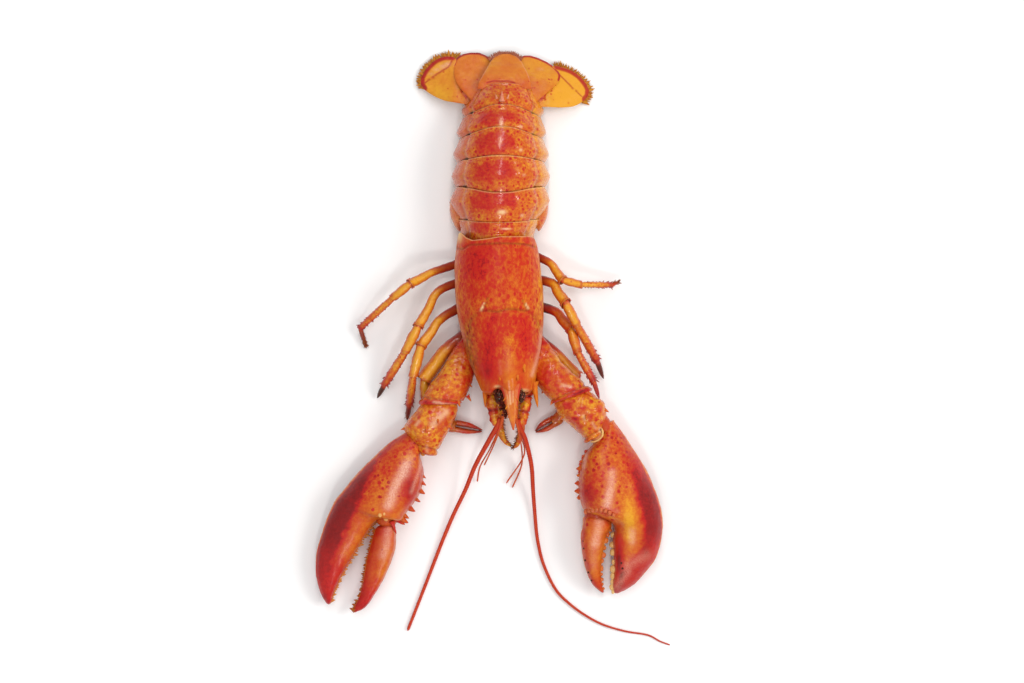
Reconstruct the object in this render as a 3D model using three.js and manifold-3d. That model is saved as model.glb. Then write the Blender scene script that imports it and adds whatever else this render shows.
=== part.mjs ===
// A cooked lobster lying on its belly with both claws stretched forward and the
// tail fan spread. Millimetres, +Z up, +Y towards the tail, -Y towards the claws.
// The animal faces -Y, so its own left side is +X: the thick crusher claw is there
// and the slender cutter claw is at -X. The origin is on the table, under the
// middle of the whole outline.

import * as THREE from 'three';
import { LoftGeometry } from 'three/addons/geometries/LoftGeometry.js';
import { mergeVertices } from 'three/addons/utils/BufferGeometryUtils.js';
import Module from 'manifold-3d';

const wasm = await Module();
wasm.setup();

// Driving dimensions

const clearance = 0.3;         // gap that neighbouring shells keep
const tinyEdge = 0.08;         // edges shorter than this are merged after a cut
const smallestEnd = 0.16;      // share of the section left at a rounded end
const grooveDepth = 1.1;       // cervical groove across the back
const grooveWidth = 1.7;
const grooveY = 21;            // where the groove crosses the midline
const grooveSweep = 9;         // how far its ends run forward down the flanks
const rimHeight = 0.9;         // raised band along the rear edge of the carapace
const rimY = 57;
const segmentStep = 1.1;       // a tail ring starts this much below the one before
const segmentLip = 0.5;        // and its own rear edge flares by this much
const segmentBulge = 0.9;      // crown of a tail ring along its length
const plateThickness = 2.4;    // telson and tail fan plates
const eyeSize = [3.0, 5.2, 3.4];
const cutterCrest = 0.35;      // the top of a claw lies this share towards its inner edge
const crusherCrest = 0.25;
const bellyLevel = 2.3;        // height of the breastplate's widest line
const bellyRise = 2.3;
const bellyDrop = 3.2;         // more than the level, so the table line cuts it flat

const colours = {
  carapace: 0xc8321f,
  tail: 0xd4471f,
  fan: 0xe08a2c,
  claw: 0xc23a22,
  leg: 0xe07a2e,
  feeler: 0xc04a2c,
  belly: 0xe8a878,
  eye: 0x1c1210,
  mouth: 0x9a6a34,
};

// Curves and sections

// Catmull-Rom through rows of equal length; t runs from 0, first row, to 1, last row
function blend(rows, t) {
  const last = rows.length - 1;
  const place = Math.min(Math.max(t, 0), 1) * last;
  const i = Math.min(Math.floor(place), last - 1);
  const f = place - i;
  const from = rows[i];
  const to = rows[i + 1];
  const before = rows[i - 1] ?? from.map((v, k) => 2 * v - to[k]);
  const after = rows[i + 2] ?? to.map((v, k) => 2 * v - from[k]);
  return from.map((v, k) => {
    const slopeIn = (to[k] - before[k]) / 2;
    const slopeOut = (after[k] - v) / 2;
    const rise = to[k] - v;
    return v + f * (slopeIn + f * (3 * rise - 2 * slopeIn - slopeOut
      + f * (slopeIn + slopeOut - 2 * rise)));
  });
}

// Rings stand closer together near both ends, where the form closes
function ringPlace(i, rings, crowd = 0.6) {
  const u = i / rings;
  return u - crowd * Math.sin(2 * Math.PI * u) / (2 * Math.PI);
}

// How large a section is near a rounded end, as a share of its full size
function endShare(t, roundStart, roundEnd) {
  let share = 1;
  if (roundStart > 0 && t < roundStart) share *= Math.sqrt(1 - (1 - t / roundStart) ** 2);
  if (roundEnd > 0 && t > 1 - roundEnd) {
    share *= Math.sqrt(Math.max(0, 1 - ((t - 1 + roundEnd) / roundEnd) ** 2));
  }
  return Math.max(share, smallestEnd);
}

function power(value, n) {
  return Math.sign(value) * Math.abs(value) ** (2 / n);
}

// A loft closed at both ends, as a solid. Its rings turn anticlockwise about the
// direction of travel, which makes the wall face out.
function closeLoft(sections) {
  const half = Math.floor(sections.length / 2);
  const travel = centreOf(sections[half]).sub(centreOf(sections[half - 1]));
  const turning = new THREE.Vector3();
  const ring = sections[half];
  const centre = centreOf(ring);
  ring.forEach((point, j) => {
    const next = ring[(j + 1) % ring.length].clone().sub(centre);
    turning.add(point.clone().sub(centre).cross(next));
  });
  if (turning.dot(travel) < 0) sections.forEach((section) => section.reverse());
  return toSolid(new LoftGeometry(sections, { capStart: true, capEnd: true }));
}

function centreOf(points) {
  return points.reduce((sum, point) => sum.add(point), new THREE.Vector3()).divideScalar(points.length);
}

// A closed three.js geometry as a solid that can be joined and cut
function toSolid(shape) {
  const geometry = new THREE.BufferGeometry().copy(shape);
  geometry.deleteAttribute('normal');
  geometry.deleteAttribute('uv');
  const merged = mergeVertices(geometry, 1e-3);
  return new wasm.Manifold(new wasm.Mesh({
    numProp: 3,
    vertProperties: new Float32Array(merged.attributes.position.array),
    triVerts: new Uint32Array(merged.index.array),
  }));
}

// A shell runs along ribs. Each rib is a row: the middle x, y, z of the section, the
// half vector from the middle to its +X edge (x, y, z), the rise above that line, the
// drop below it, and the lean of the section towards the tail in degrees. With a crest
// the top of each section lies that share of the half width towards the side's edge.
function shell(ribs, options = {}) {
  const {
    rings = 14, around = 16, topPower = 2, bottomPower = 2, grow = 0,
    roundStart = 0, roundEnd = 0, hollow = 0, crest = 0, relief = () => 0, crowd = 0.6,
  } = options;
  const sections = [];
  for (let i = 0; i <= rings; i++) {
    const t = ringPlace(i, rings, crowd);
    const row = blend(ribs, t);
    const middle = new THREE.Vector3(row[0], row[1], row[2]);
    const side = new THREE.Vector3(row[3], row[4], row[5]);
    const share = endShare(t, roundStart, roundEnd);
    const half = Math.max(side.length() * share, 0.1) + grow;
    side.normalize();
    const lean = THREE.MathUtils.degToRad(row[8]);
    const upward = new THREE.Vector3(0, Math.sin(lean), Math.cos(lean));
    const rise = Math.max(row[6] * share, 0.1) + grow;
    const drop = Math.max(row[7] * share, 0.1) + grow;
    const points = [];
    for (let j = 0; j < around; j++) {
      const angle = (j + 0.5) / around * 2 * Math.PI;
      const across = Math.cos(angle);
      const height = Math.sin(angle);
      const n = height > 0 ? topPower : bottomPower;
      const shift = height > 0 ? crest * height ** 2 : 0;
      const x = (power(across, n) + shift) * half;
      let z = power(height, n) * (height > 0 ? rise : drop);
      if (height < 0) z += hollow * Math.max(0, 1 - (x / half / 0.85) ** 2);
      const swell = relief(t, angle, middle);
      const point = middle.clone().addScaledVector(side, x + swell * across);
      point.addScaledVector(upward, z + swell * height);
      point.z = Math.max(point.z, 0);
      points.push(point);
    }
    sections.push(points);
  }
  return closeLoft(sections);
}

// A limb is a tube along stations: x, y, z, half width across, half height
function limb(stations, options = {}) {
  const {
    rings = 8, around = 8, grow = 0, roundStart = 0.12, roundEnd = 0.12, swell = () => 1,
    crowd = 0.6,
  } = options;
  const sections = [];
  const step = 0.01;
  for (let i = 0; i <= rings; i++) {
    const t = ringPlace(i, rings, crowd);
    const row = blend(stations, t);
    const ahead = blend(stations, Math.min(t + step, 1));
    const behind = blend(stations, Math.max(t - step, 0));
    const along = new THREE.Vector3(ahead[0] - behind[0], ahead[1] - behind[1], ahead[2] - behind[2]);
    along.normalize();
    const side = new THREE.Vector3(along.y, -along.x, 0).normalize();
    const upward = side.clone().cross(along);
    const share = endShare(t, roundStart, roundEnd) * swell(t);
    const middle = new THREE.Vector3(row[0], row[1], row[2]);
    const points = [];
    for (let j = 0; j < around; j++) {
      const angle = (j + 0.5) / around * 2 * Math.PI;
      const point = middle.clone();
      point.addScaledVector(side, Math.cos(angle) * (Math.max(row[3], 0.2) * share + grow));
      point.addScaledVector(upward, Math.sin(angle) * (Math.max(row[4], 0.2) * share + grow));
      point.z = Math.max(point.z, 0);
      points.push(point);
    }
    sections.push(points);
  }
  return closeLoft(sections);
}

// A spine or tooth: a blunt-tipped cone from inside the shell to its tip
function spike(base, tip, radius, sides = 4) {
  const from = new THREE.Vector3(...base);
  const to = new THREE.Vector3(...tip);
  const along = to.clone().sub(from);
  const cone = new THREE.CylinderGeometry(radius * 0.14, radius, along.length(), sides);
  cone.translate(0, along.length() / 2, 0);
  cone.applyQuaternion(new THREE.Quaternion().setFromUnitVectors(
    new THREE.Vector3(0, 1, 0), along.normalize()));
  cone.translate(from.x, from.y, from.z);
  return toSolid(cone);
}

// A rounded bump, such as a grinding tooth or an eye
function knob(centre, size, columns = 8, rows = 6) {
  const ball = new THREE.SphereGeometry(1, columns, rows);
  ball.scale(...size);
  ball.translate(...centre);
  return toSolid(ball);
}

function fuse(solid, additions) {
  return additions.reduce((whole, piece) => whole.add(piece), solid);
}

// What is left after the cuts; loose scraps are dropped
function carve(solid, tools) {
  const left = tools.reduce((whole, piece) => whole.subtract(piece), solid);
  return left.decompose().reduce((best, piece) => (piece.volume() > best.volume() ? piece : best));
}

// Ribs that lie straight across the body: y, x, z, half width, rise, drop
function acrossRibs(rows) {
  return rows.map(([y, x, z, half, rise, drop]) => [x, y, z, half, 0, 0, rise, drop, 0]);
}

// Ribs between an outer and an inner edge point: middle x, y, the half vector to the
// inner edge, the level of the edges, rise and drop
function edgeRibs(rows) {
  return rows.map(([x, y, sideX, sideY, z, rise, drop]) => [x, y, z, sideX, sideY, 0, rise, drop, 0]);
}

// Carapace, from its rear rim to the front edge

const carapaceRows = [
  [60.0, 2.0, 21, 21.4, 19.5, 14.5],
  [55.0, 2.4, 21, 23.2, 21.5, 15.5],
  [43.0, 2.8, 21, 24.6, 23.6, 16.0],
  [30.0, 3.6, 21, 25.0, 24.2, 16.0],
  [17.0, 4.4, 21, 24.4, 23.8, 16.0],
  [4.0, 5.4, 21, 22.5, 23.4, 15.5],
  [-8.0, 6.2, 22, 19.9, 22.0, 15.5],
  [-18.0, 7.6, 23, 17.0, 19.6, 14.5],
  [-26.0, 9.2, 24, 14.4, 16.0, 12.5],
];

function carapaceRelief(t, angle, middle) {
  const height = Math.sin(angle);
  if (height <= 0) return 0;
  const down = 1 - height;
  const groove = middle.y - (grooveY - grooveSweep * down ** 1.5);
  const rim = middle.y - rimY;
  return rimHeight * Math.exp(-((rim / 2.2) ** 2))
    - grooveDepth * Math.exp(-((groove / grooveWidth) ** 2));
}

function carapaceBody(grow = 0) {
  return shell(acrossRibs(carapaceRows), {
    rings: 27, around: 20, topPower: 2.15, bottomPower: 2.1, roundEnd: 0.07,
    relief: carapaceRelief, grow, crowd: 0.15,
  });
}

const rostrumRows = [
  [-6.0, 7.6, 40.6, 7.5, 2.2, 5.0],
  [-18.0, 9.2, 39.6, 5.6, 2.6, 4.6],
  [-27.0, 10.2, 39.4, 4.1, 2.4, 3.6],
  [-36.0, 10.9, 40.0, 2.8, 1.9, 2.4],
  [-46.6, 11.6, 41.6, 0.4, 0.5, 0.6],
];

// The head bends a little to the animal's left
function headMiddle(y) {
  return 8.0 - 0.09 * (y + 6);
}

// Spines on each side, the x measured outwards from the head's middle. The last one,
// over the feeler's base, is the longest.
const headSpines = [
  { base: [0.8, -26.5, 40.2], tip: [5.2, -30.6, 41.4], radius: 1.5 },
  { base: [0.8, -31.5, 40.2], tip: [4.4, -35.6, 41.4], radius: 1.5 },
  { base: [0.8, -36.5, 40.2], tip: [3.4, -40.6, 41.4], radius: 1.5 },
  { base: [8.8, -10, 38.5], tip: [9.6, -15, 41.4], radius: 1.6 },
  { base: [4.8, -15, 39.5], tip: [5.0, -19.5, 43.2], radius: 1.4 },
  { base: [13.8, -21, 27], tip: [14.8, -34.4, 28], radius: 2.6 },
];

function makeCarapace() {
  const rostrum = shell(acrossRibs(rostrumRows), { rings: 7, around: 8 });
  const spines = [];
  for (const hand of [-1, 1]) {
    for (const { base, tip, radius } of headSpines) {
      const [from, to] = [base, tip].map(([x, y, z]) => [headMiddle(y) + hand * x, y, z]);
      spines.push(spike(from, to, radius));
    }
  }
  const orbits = eyeCentres.map((centre) => knob(centre, eyeSize.map((v) => v + clearance)));
  const whole = fuse(carapaceBody(), [rostrum, ...spines]);
  return carve(whole, orbits);
}

// Eyes under the rostrum

const eyeCentres = [[3.4, -28.6, 32.5], [16.2, -28.6, 32.5]];

// Tail rings. Each border is a plane across the tail: middle x, y at the sides,
// y on top, height on top, half width in the notch between the side lobes.

const tailBorders = [
  [2.2, 60.6, 60.6, 38.4, 20.8],
  [3.4, 71.6, 68.4, 39.4, 23.4],
  [4.3, 89.6, 87.2, 40.2, 25.6],
  [4.6, 103.4, 106.0, 40.0, 24.8],
  [4.8, 117.6, 122.4, 36.2, 23.4],
  [5.2, 129.6, 135.4, 29.0, 22.0],
  [6.6, 144.0, 148.8, 19.6, 16.6],
];
const tailLobes = [21.4, 28.2, 28.1, 27.1, 25.3, 22.4];
const tailWideLevel = 9;       // the side lobes are widest this high above the table
const tailHollow = 6;          // the soft underside arches up between the lobes

function tailRingRibs(k) {
  const front = tailBorders[k];
  const rear = tailBorders[k + 1];
  const steps = [0, 0.12, 0.3, 0.5, 0.7, 0.88, 1];
  return steps.map((s) => {
    const gap = (0.5 - s) * clearance;
    const at = (column) => front[column] + (rear[column] - front[column]) * s;
    const sideY = at(1) + gap;
    const topY = at(2) + gap;
    const lobe = Math.sin(Math.PI * s) ** 0.8;
    const half = at(4) + (tailLobes[k] - (front[4] + rear[4]) / 2) * lobe;
    const crown = segmentBulge * Math.sin(Math.PI * s);
    const lip = s < 0.5 ? -segmentStep * (1 - s * 2) ** 2 : segmentLip * (s * 2 - 1) ** 2;
    const level = tailWideLevel - (k === 5 ? 2 * s : 0);
    const top = at(3) + crown + lip;
    const lean = THREE.MathUtils.radToDeg(Math.atan2(topY - sideY, top - level));
    const rise = Math.hypot(top - level, topY - sideY);
    return [at(0), sideY, level, half + lip * 0.6, 0, 0, rise, level - 0.6, lean];
  });
}

function tailRingBody(k, grow = 0) {
  return shell(tailRingRibs(k), {
    rings: 7, around: 18, topPower: 2.05, bottomPower: 3, hollow: tailHollow, crowd: 0.2, grow,
  });
}

function makeTailRing(k) {
  let ring = tailRingBody(k);
  if (k === 1) ring = fuse(ring, sideFlaps());
  if (k >= 1 && k <= 4) ring = fuse(ring, swimmerets(k));
  return ring;
}

// The second ring's side lobes reach forward over the first ring
function sideFlaps() {
  const [x] = tailBorders[1];
  const flaps = [-1, 1].map((hand) => limb([
    [x + hand * 25.8, 80, 10, 2.4, 6.0],
    [x + hand * 24.8, 72, 8.5, 2.0, 5.0],
    [x + hand * 23.4, 65.6, 7.5, 1.2, 3.0],
  ], { rings: 4, around: 6, roundStart: 0, roundEnd: 0.3 }));
  return flaps.map((flap) => carve(flap, [tailRingBody(0, clearance)]));
}

// A pair of small paddles under a tail ring, folded towards the head
function swimmerets(k) {
  const [x, y] = tailBorders[k];
  const rootY = y + 9;
  return [-1, 1].map((hand) => limb([
    [x + hand * 8, rootY, 8, 1.6, 1.2],
    [x + hand * 12, rootY - 3, 4.6, 2.4, 0.9],
    [x + hand * 15, rootY - 8, 2.6, 3.0, 0.8],
    [x + hand * 16, rootY - 13, 1.8, 1.6, 0.6],
  ], { rings: 3, around: 4, roundStart: 0, roundEnd: 0.2 }));
}

// Telson and tail fan: thin plates, ribs from the base to the free edge. Each row is
// the middle x, y, z, the half vector across, and every plate has one thickness.

function plate(rows, grow = 0, rings = 7, around = 10) {
  const ribs = rows.map(([x, y, z, sideX, sideY, sideZ]) => [
    x, y, z, sideX, sideY, sideZ, plateThickness / 2, plateThickness / 2, 0]);
  return shell(ribs, { rings, around, topPower: 3.2, bottomPower: 3.2, grow, crowd: 0.3 });
}

const telsonRows = [
  [6.6, 145.6, 16.8, 15.0, 0, 0],
  [6.8, 149.6, 16.6, 14.2, 0, 0],
  [7.2, 154.0, 14.2, 12.6, 0, 0],
  [7.4, 160.0, 10.2, 10.4, 0, 0],
  [7.4, 165.0, 6.8, 9.0, 0, 0],
  [7.2, 168.0, 4.8, 6.4, 0, 0],
  [7.1, 169.8, 3.6, 2.6, 0, 0],
];

const fanRows = {
  inner_right: [
    [-8.6, 142.0, 14.0, 2.6, 4.0, -2.0],
    [-12.8, 151.0, 11.0, 7.6, 1.2, -1.0],
    [-12.8, 157.4, 7.8, 9.6, -0.6, 0],
    [-12.0, 162.4, 5.2, 9.4, -0.8, 0],
    [-11.4, 165.6, 3.4, 6.4, -0.4, 0],
    [-11.0, 167.0, 2.6, 2.4, 0, 0],
  ],
  inner_left: [
    [21.6, 142.0, 14.0, -2.6, 4.0, -2.0],
    [28.0, 150.0, 11.0, -7.8, 1.6, -1.0],
    [28.6, 155.4, 8.0, -9.6, 1.6, 0],
    [27.2, 160.0, 5.4, -9.0, 2.4, 0],
    [25.4, 163.2, 3.8, -6.0, 2.0, 0],
    [24.2, 164.6, 3.0, -2.0, 0.8, 0],
  ],
  outer_right: [
    [-11.0, 141.0, 10.4, 1.6, 4.2, -1.8],
    [-20.5, 149.6, 8.8, 0.8, 11.4, -3.4],
    [-26.5, 153.2, 6.8, 0.6, 14.0, -2.8],
    [-33.0, 155.0, 5.0, 0.4, 12.4, -1.6],
    [-38.6, 154.2, 3.8, 0.2, 8.2, -0.8],
    [-42.2, 153.0, 3.0, 0, 2.4, 0],
  ],
  outer_left: [
    [23.0, 140.0, 10.4, -1.6, 4.2, -1.8],
    [32.6, 147.0, 8.8, -0.6, 11.4, -3.4],
    [40.0, 149.2, 6.8, 0.6, 13.8, -2.8],
    [47.0, 149.0, 5.0, 0.8, 12.4, -1.6],
    [52.8, 147.6, 3.8, 0.6, 8.2, -0.8],
    [56.2, 147.0, 3.0, 0.2, 2.6, 0],
  ],
};

// The knuckle between the last ring and each pair of plates
const fanBaseRows = {
  right: [[-12.0, 136.8, 9.0, 3.0, 3.0], [-14.8, 141.4, 9.4, 3.6, 3.4], [-16.0, 146.2, 9.4, 3.0, 2.6]],
  left: [[24.6, 136.4, 9.0, 3.0, 3.0], [26.8, 140.6, 9.4, 3.4, 3.4], [27.8, 144.6, 9.4, 2.8, 2.6]],
};
const fanBaseOptions = { rings: 5, around: 8, roundStart: 0.2, roundEnd: 0.3 };

// Breastplate between the legs: y, x and half width. Its flat underside carries the body.

const bellyRows = [
  [57.0, 3.0, 8.0],
  [40.0, 3.2, 10.0],
  [18.0, 4.6, 9.6],
  [-2.0, 6.0, 7.6],
  [-20.0, 8.2, 4.0],
];

function makeBelly() {
  const rows = bellyRows.map(([y, x, half]) => [y, x, bellyLevel, half, bellyRise, bellyDrop]);
  return shell(acrossRibs(rows), {
    rings: 8, around: 10, topPower: 4, bottomPower: 8, roundStart: 0.05, roundEnd: 0.08,
  });
}

// Walking legs. Stations from the hip to the claw tip: hip, mid thigh, knee, wrist,
// heel of the last joint, tip; then the half widths of thigh, shin and foot.

const legRoutes = {
  leg_5_right: {
    path: [
      [-13, 49.5, 5.5], [-33, 42.4, 15], [-46.5, 35.5, 21],
      [-56.5, 27.5, 17], [-75.5, 10.5, 5], [-72, -1, 1.6],
    ],
    thick: [2.6, 2.6, 2.0, 1.1],
  },
  leg_4_right: {
    path: [
      [-13, 39, 5.5], [-30.5, 31.5, 15], [-42, 11.5, 23],
      [-49.5, -3, 18], [-61.5, -21.5, 7], [-66, -29.5, 2],
    ],
    thick: [2.7, 2.9, 2.4, 1.2],
  },
  leg_3_right: {
    path: [
      [-12, 26, 5.5], [-29, 16, 15], [-40.5, 0.5, 21],
      [-45, -16.5, 17], [-47.5, -33, 6.5], [-49, -42, 2],
    ],
    thick: [2.9, 3.0, 2.3, 1.2],
  },
  leg_2_right: {
    path: [
      [-10, 10, 5.5], [-26, -1.5, 11], [-39, -18.5, 12.5],
      [-38.5, -28.5, 8], [-25, -44.5, 4.6], [-6, -48, 3.4],
    ],
    thick: [3.5, 2.7, 2.8, 1.5],
  },
  leg_5_left: {
    path: [
      [18.5, 54, 5.5], [32, 47.5, 13], [39.5, 37.5, 19],
      [50, 35, 15], [67.5, 35, 8], [72, 37, 6],
    ],
    thick: [2.6, 2.4, 1.7, 0.9],
  },
  leg_4_left: {
    path: [
      [19, 39, 5.5], [33, 36, 15], [41, 24.5, 24],
      [47.5, 12, 20], [59, -8, 8], [63, -18.5, 2],
    ],
    thick: [3.0, 2.9, 2.5, 1.2],
  },
  leg_3_left: {
    path: [
      [19, 25, 5.5], [35, 20, 11], [44, 10, 15],
      [48, -3.5, 20], [57, -20, 25], [60, -29.5, 25],
    ],
    thick: [3.0, 2.9, 2.2, 1.1],
  },
  leg_2_left: {
    path: [
      [17.5, 11, 5.5], [36, -4, 11.5], [48, -17, 12],
      [44, -28, 6.6], [37, -41, 4.2], [24, -48.5, 3.2],
    ],
    thick: [3.2, 2.6, 2.7, 1.4],
  },
};

function pointAlong(from, to, distance) {
  const start = new THREE.Vector3(...from);
  const end = new THREE.Vector3(...to);
  return start.addScaledVector(end.sub(start).normalize(), distance).toArray();
}

// How far a joint's two rounded ends stay back so that they clear each other
function jointSetBack(before, joint, after, radius) {
  const into = new THREE.Vector3(...joint).sub(new THREE.Vector3(...before));
  const out = new THREE.Vector3(...after).sub(new THREE.Vector3(...joint));
  const bend = into.angleTo(out);
  return clearance / 2 + radius * 0.55 * (1 / Math.cos(bend / 2) - 1) + 0.1;
}

function legPieces({ path, thick }) {
  const [thigh, shin, foot, claw] = thick;
  const [hip, mid, knee, wrist, heel, tip] = path;
  const kneeBack = jointSetBack(mid, knee, wrist, Math.max(thigh, shin));
  const wristBack = jointSetBack(knee, wrist, heel, Math.max(shin, foot));
  const flare = (t) => 0.84 + 0.16 * Math.min(1, t * 3) + 0.1 * Math.exp(-(((t - 0.88) / 0.08) ** 2));
  const thighRows = [
    [...hip, thigh * 1.25, thigh * 1.2],
    [...mid, thigh * 0.95, thigh],
    [...midway(mid, knee), thigh, thigh],
    [...pointAlong(knee, mid, kneeBack), thigh, thigh],
  ];
  const shinRows = [
    [...pointAlong(knee, wrist, kneeBack), shin * 0.8, shin * 0.8],
    [...pointAlong(wrist, knee, wristBack), shin, shin],
  ];
  const footRows = [
    [...pointAlong(wrist, heel, wristBack), foot * 0.9, foot * 0.9],
    [...midway(wrist, heel), foot, foot],
    [...heel, foot * 0.85, foot * 0.85],
    [...midway(heel, tip), claw, claw],
    [...tip, claw * 0.4, claw * 0.4],
  ];
  const neck = (t) => 0.88 + 0.12 * Math.min(1, t * 4);
  return {
    thigh: limb(thighRows, { rings: 7, around: 7, swell: flare, roundStart: 0.08, roundEnd: 0.07 }),
    shin: limb(shinRows, { rings: 5, around: 7, swell: flare, roundStart: 0.2, roundEnd: 0.14 }),
    foot: limb(footRows, { rings: 6, around: 7, swell: neck, roundStart: 0.1, roundEnd: 0.1, crowd: 0.4 }),
  };
}

function midway(from, to) {
  return from.map((v, k) => (v + to[k]) / 2);
}

// Arms: the thick upper arm and the wrist that carry each claw. Middle x, y, the half
// vector to the inner edge, level, rise and drop.

const cutterArm = edgeRibs([
  [-8.0, 8.0, 5.0, -3.4, 9, 5.0, 5.0],
  [-15.5, -5.5, 7.0, -3.8, 15, 7.0, 6.5],
  [-20.5, -17.0, 8.4, -4.2, 19, 8.4, 7.5],
  [-26.0, -26.0, 10.4, -3.2, 20, 9.0, 8.0],
  [-30.6, -33.0, 12.6, 0.6, 20, 9.2, 8.0],
]);
const cutterWrist = edgeRibs([
  [-31.4, -34.8, 11.8, 1.0, 19, 8.0, 7.0],
  [-34.4, -40.6, 13.4, 0.6, 18.5, 10.0, 8.0],
  [-37.8, -47.2, 12.6, -0.8, 17.5, 10.4, 8.5],
  [-37.8, -54.2, 8.4, -2.0, 16.5, 9.4, 8.0],
  [-36.4, -61.6, 4.2, -0.6, 15.5, 6.5, 6.0],
]);
const crusherArm = edgeRibs([
  [18.5, 9.0, -5.2, -3.6, 9, 5.2, 5.0],
  [26.0, -5.5, -7.6, -5.0, 15, 7.0, 6.5],
  [32.5, -15.6, -7.6, -6.0, 19, 8.6, 7.5],
  [39.5, -23.0, -8.6, -6.0, 20, 9.4, 8.5],
  [45.6, -28.6, -12.0, -3.6, 20, 9.4, 8.5],
]);
const crusherWrist = edgeRibs([
  [46.6, -30.6, -11.8, -3.0, 19.5, 8.4, 7.5],
  [50.4, -35.6, -12.6, -4.0, 19, 10.4, 8.5],
  [54.6, -41.8, -9.6, -4.0, 18.5, 10.2, 8.5],
  [56.6, -47.2, -6.4, -3.4, 17.5, 7.6, 7.0],
  [57.0, -52.2, -4.6, -2.6, 17, 5.4, 5.0],
]);

const armOptions = { rings: 9, around: 12, topPower: 2.2, bottomPower: 2.2, roundStart: 0.1, roundEnd: 0.14 };

// Claws: palm with the fixed finger, and the movable finger. Same columns as the arms.

const cutterPalmRibs = edgeRibs([
  [-45.2, -55.2, 4.2, -6.8, 14, 8.5, 8.0],
  [-48.5, -60.0, 8.6, -6.8, 13, 11.5, 10.0],
  [-52.4, -67.0, 13.2, -6.4, 12.5, 14.4, 12.0],
  [-59.0, -77.5, 17.4, -6.2, 12.5, 16.4, 12.5],
  [-67.0, -88.0, 17.9, -6.5, 12, 16.2, 12.0],
  [-70.6, -92.6, 18.4, -6.2, 12, 15.4, 11.8],
  [-78.0, -95.0, 13.9, -3.1, 11, 12.4, 10.6],
  [-84.4, -106.0, 12.4, -1.1, 10, 10.0, 9.4],
  [-90.0, -118.5, 10.2, -1.4, 9, 8.6, 8.2],
  [-93.0, -129.5, 7.6, 0.3, 8, 7.0, 6.8],
  [-93.8, -139.0, 4.2, 0.8, 7, 5.2, 5.0],
  [-93.2, -146.8, 0.8, 0.2, 6, 2.0, 2.0],
]);
const cutterFingerRibs = edgeRibs([
  [-60.6, -99.8, 5.2, 0.8, 13, 6.0, 6.0],
  [-61.2, -106.5, 6.5, -0.2, 12.5, 7.6, 7.0],
  [-62.5, -114.0, 7.2, -0.6, 12, 7.6, 7.0],
  [-65.0, -122.5, 7.1, 0, 11, 7.0, 6.4],
  [-67.6, -131.5, 6.0, 0, 10, 6.0, 5.6],
  [-71.0, -140.0, 4.3, 0, 9, 4.8, 4.6],
  [-75.0, -147.0, 2.8, -1.0, 8, 3.4, 3.2],
  [-79.6, -151.0, 0.8, -0.4, 7, 1.4, 1.4],
]);
const crusherPalmRibs = edgeRibs([
  [66.8, -44.8, -3.0, -1.0, 16, 6.0, 6.0],
  [65.8, -52.2, -8.6, -2.4, 15.5, 10.5, 10.0],
  [65.6, -58.6, -13.4, -1.6, 15.5, 13.5, 12.5],
  [67.2, -67.0, -17.6, -1.0, 15, 16.4, 14.4],
  [69.6, -78.5, -21.4, 0, 15, 18.2, 15.0],
  [72.0, -88.5, -22.4, 0, 14.6, 18.2, 14.6],
  [74.6, -94.4, -21.4, 0.6, 14.2, 17.2, 14.2],
  [82.0, -101.6, -14.4, 1.1, 13, 14.4, 12.8],
  [81.5, -110.5, -13.6, 0.9, 12, 12.0, 11.6],
  [80.5, -120.0, -11.9, 0, 10.5, 10.2, 10.0],
  [77.5, -128.5, -8.9, 0, 9, 8.4, 8.4],
  [73.5, -135.5, -5.7, 0.3, 8, 6.0, 6.4],
  [69.4, -140.2, -1.0, 0.4, 7, 2.2, 2.4],
]);
const crusherFingerRibs = edgeRibs([
  [58.6, -94.8, -7.6, 0.6, 16, 7.0, 7.0],
  [59.0, -101.0, -8.3, 0.6, 15.5, 8.6, 8.0],
  [57.0, -107.0, -7.4, -0.1, 15, 8.4, 8.0],
  [56.5, -114.5, -6.3, 0, 13.6, 7.6, 7.0],
  [56.5, -122.0, -5.2, 0, 11.6, 6.4, 6.0],
  [57.5, -129.5, -3.8, -0.2, 9.8, 5.0, 4.8],
  [59.6, -135.4, -2.6, -0.3, 8.4, 3.4, 3.4],
  [62.6, -139.8, -0.6, -0.2, 7.4, 1.4, 1.4],
]);

const palmOptions = {
  rings: 18, around: 14, topPower: 2.1, bottomPower: 2.1, roundStart: 0.02, crowd: 0.1,
};
const fingerOptions = {
  rings: 11, around: 10, topPower: 2.2, bottomPower: 2.2, roundStart: 0.07, crowd: 0.2,
};

// A row of teeth or spines along the inner edge of a claw, between two rib places
function edgeTeeth(ribs, { count, from, to, edge, reach, radius, forward = 0, blunt = false }) {
  const teeth = [];
  for (let i = 0; i < count; i++) {
    const t = from + (to - from) * i / Math.max(count - 1, 1);
    const [x, y, z, sideX, sideY] = blend(ribs, t);
    const half = Math.hypot(sideX, sideY);
    const out = [edge * sideX / half, edge * sideY / half];
    const root = [x + out[0] * (half - radius * 1.6), y + out[1] * (half - radius * 1.6), z];
    const size = 1 - 0.35 * i / count;
    const tip = [x + out[0] * (half + reach * size), y + out[1] * (half + reach * size) - forward, z + 0.4];
    if (blunt) {
      const centre = [x + out[0] * (half - 0.4), y + out[1] * (half - 0.4), z];
      teeth.push(knob(centre, [reach * size + 0.4, radius * size, radius * size], 6, 4));
    } else {
      teeth.push(spike(root, tip, radius * size));
    }
  }
  return teeth;
}

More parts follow.
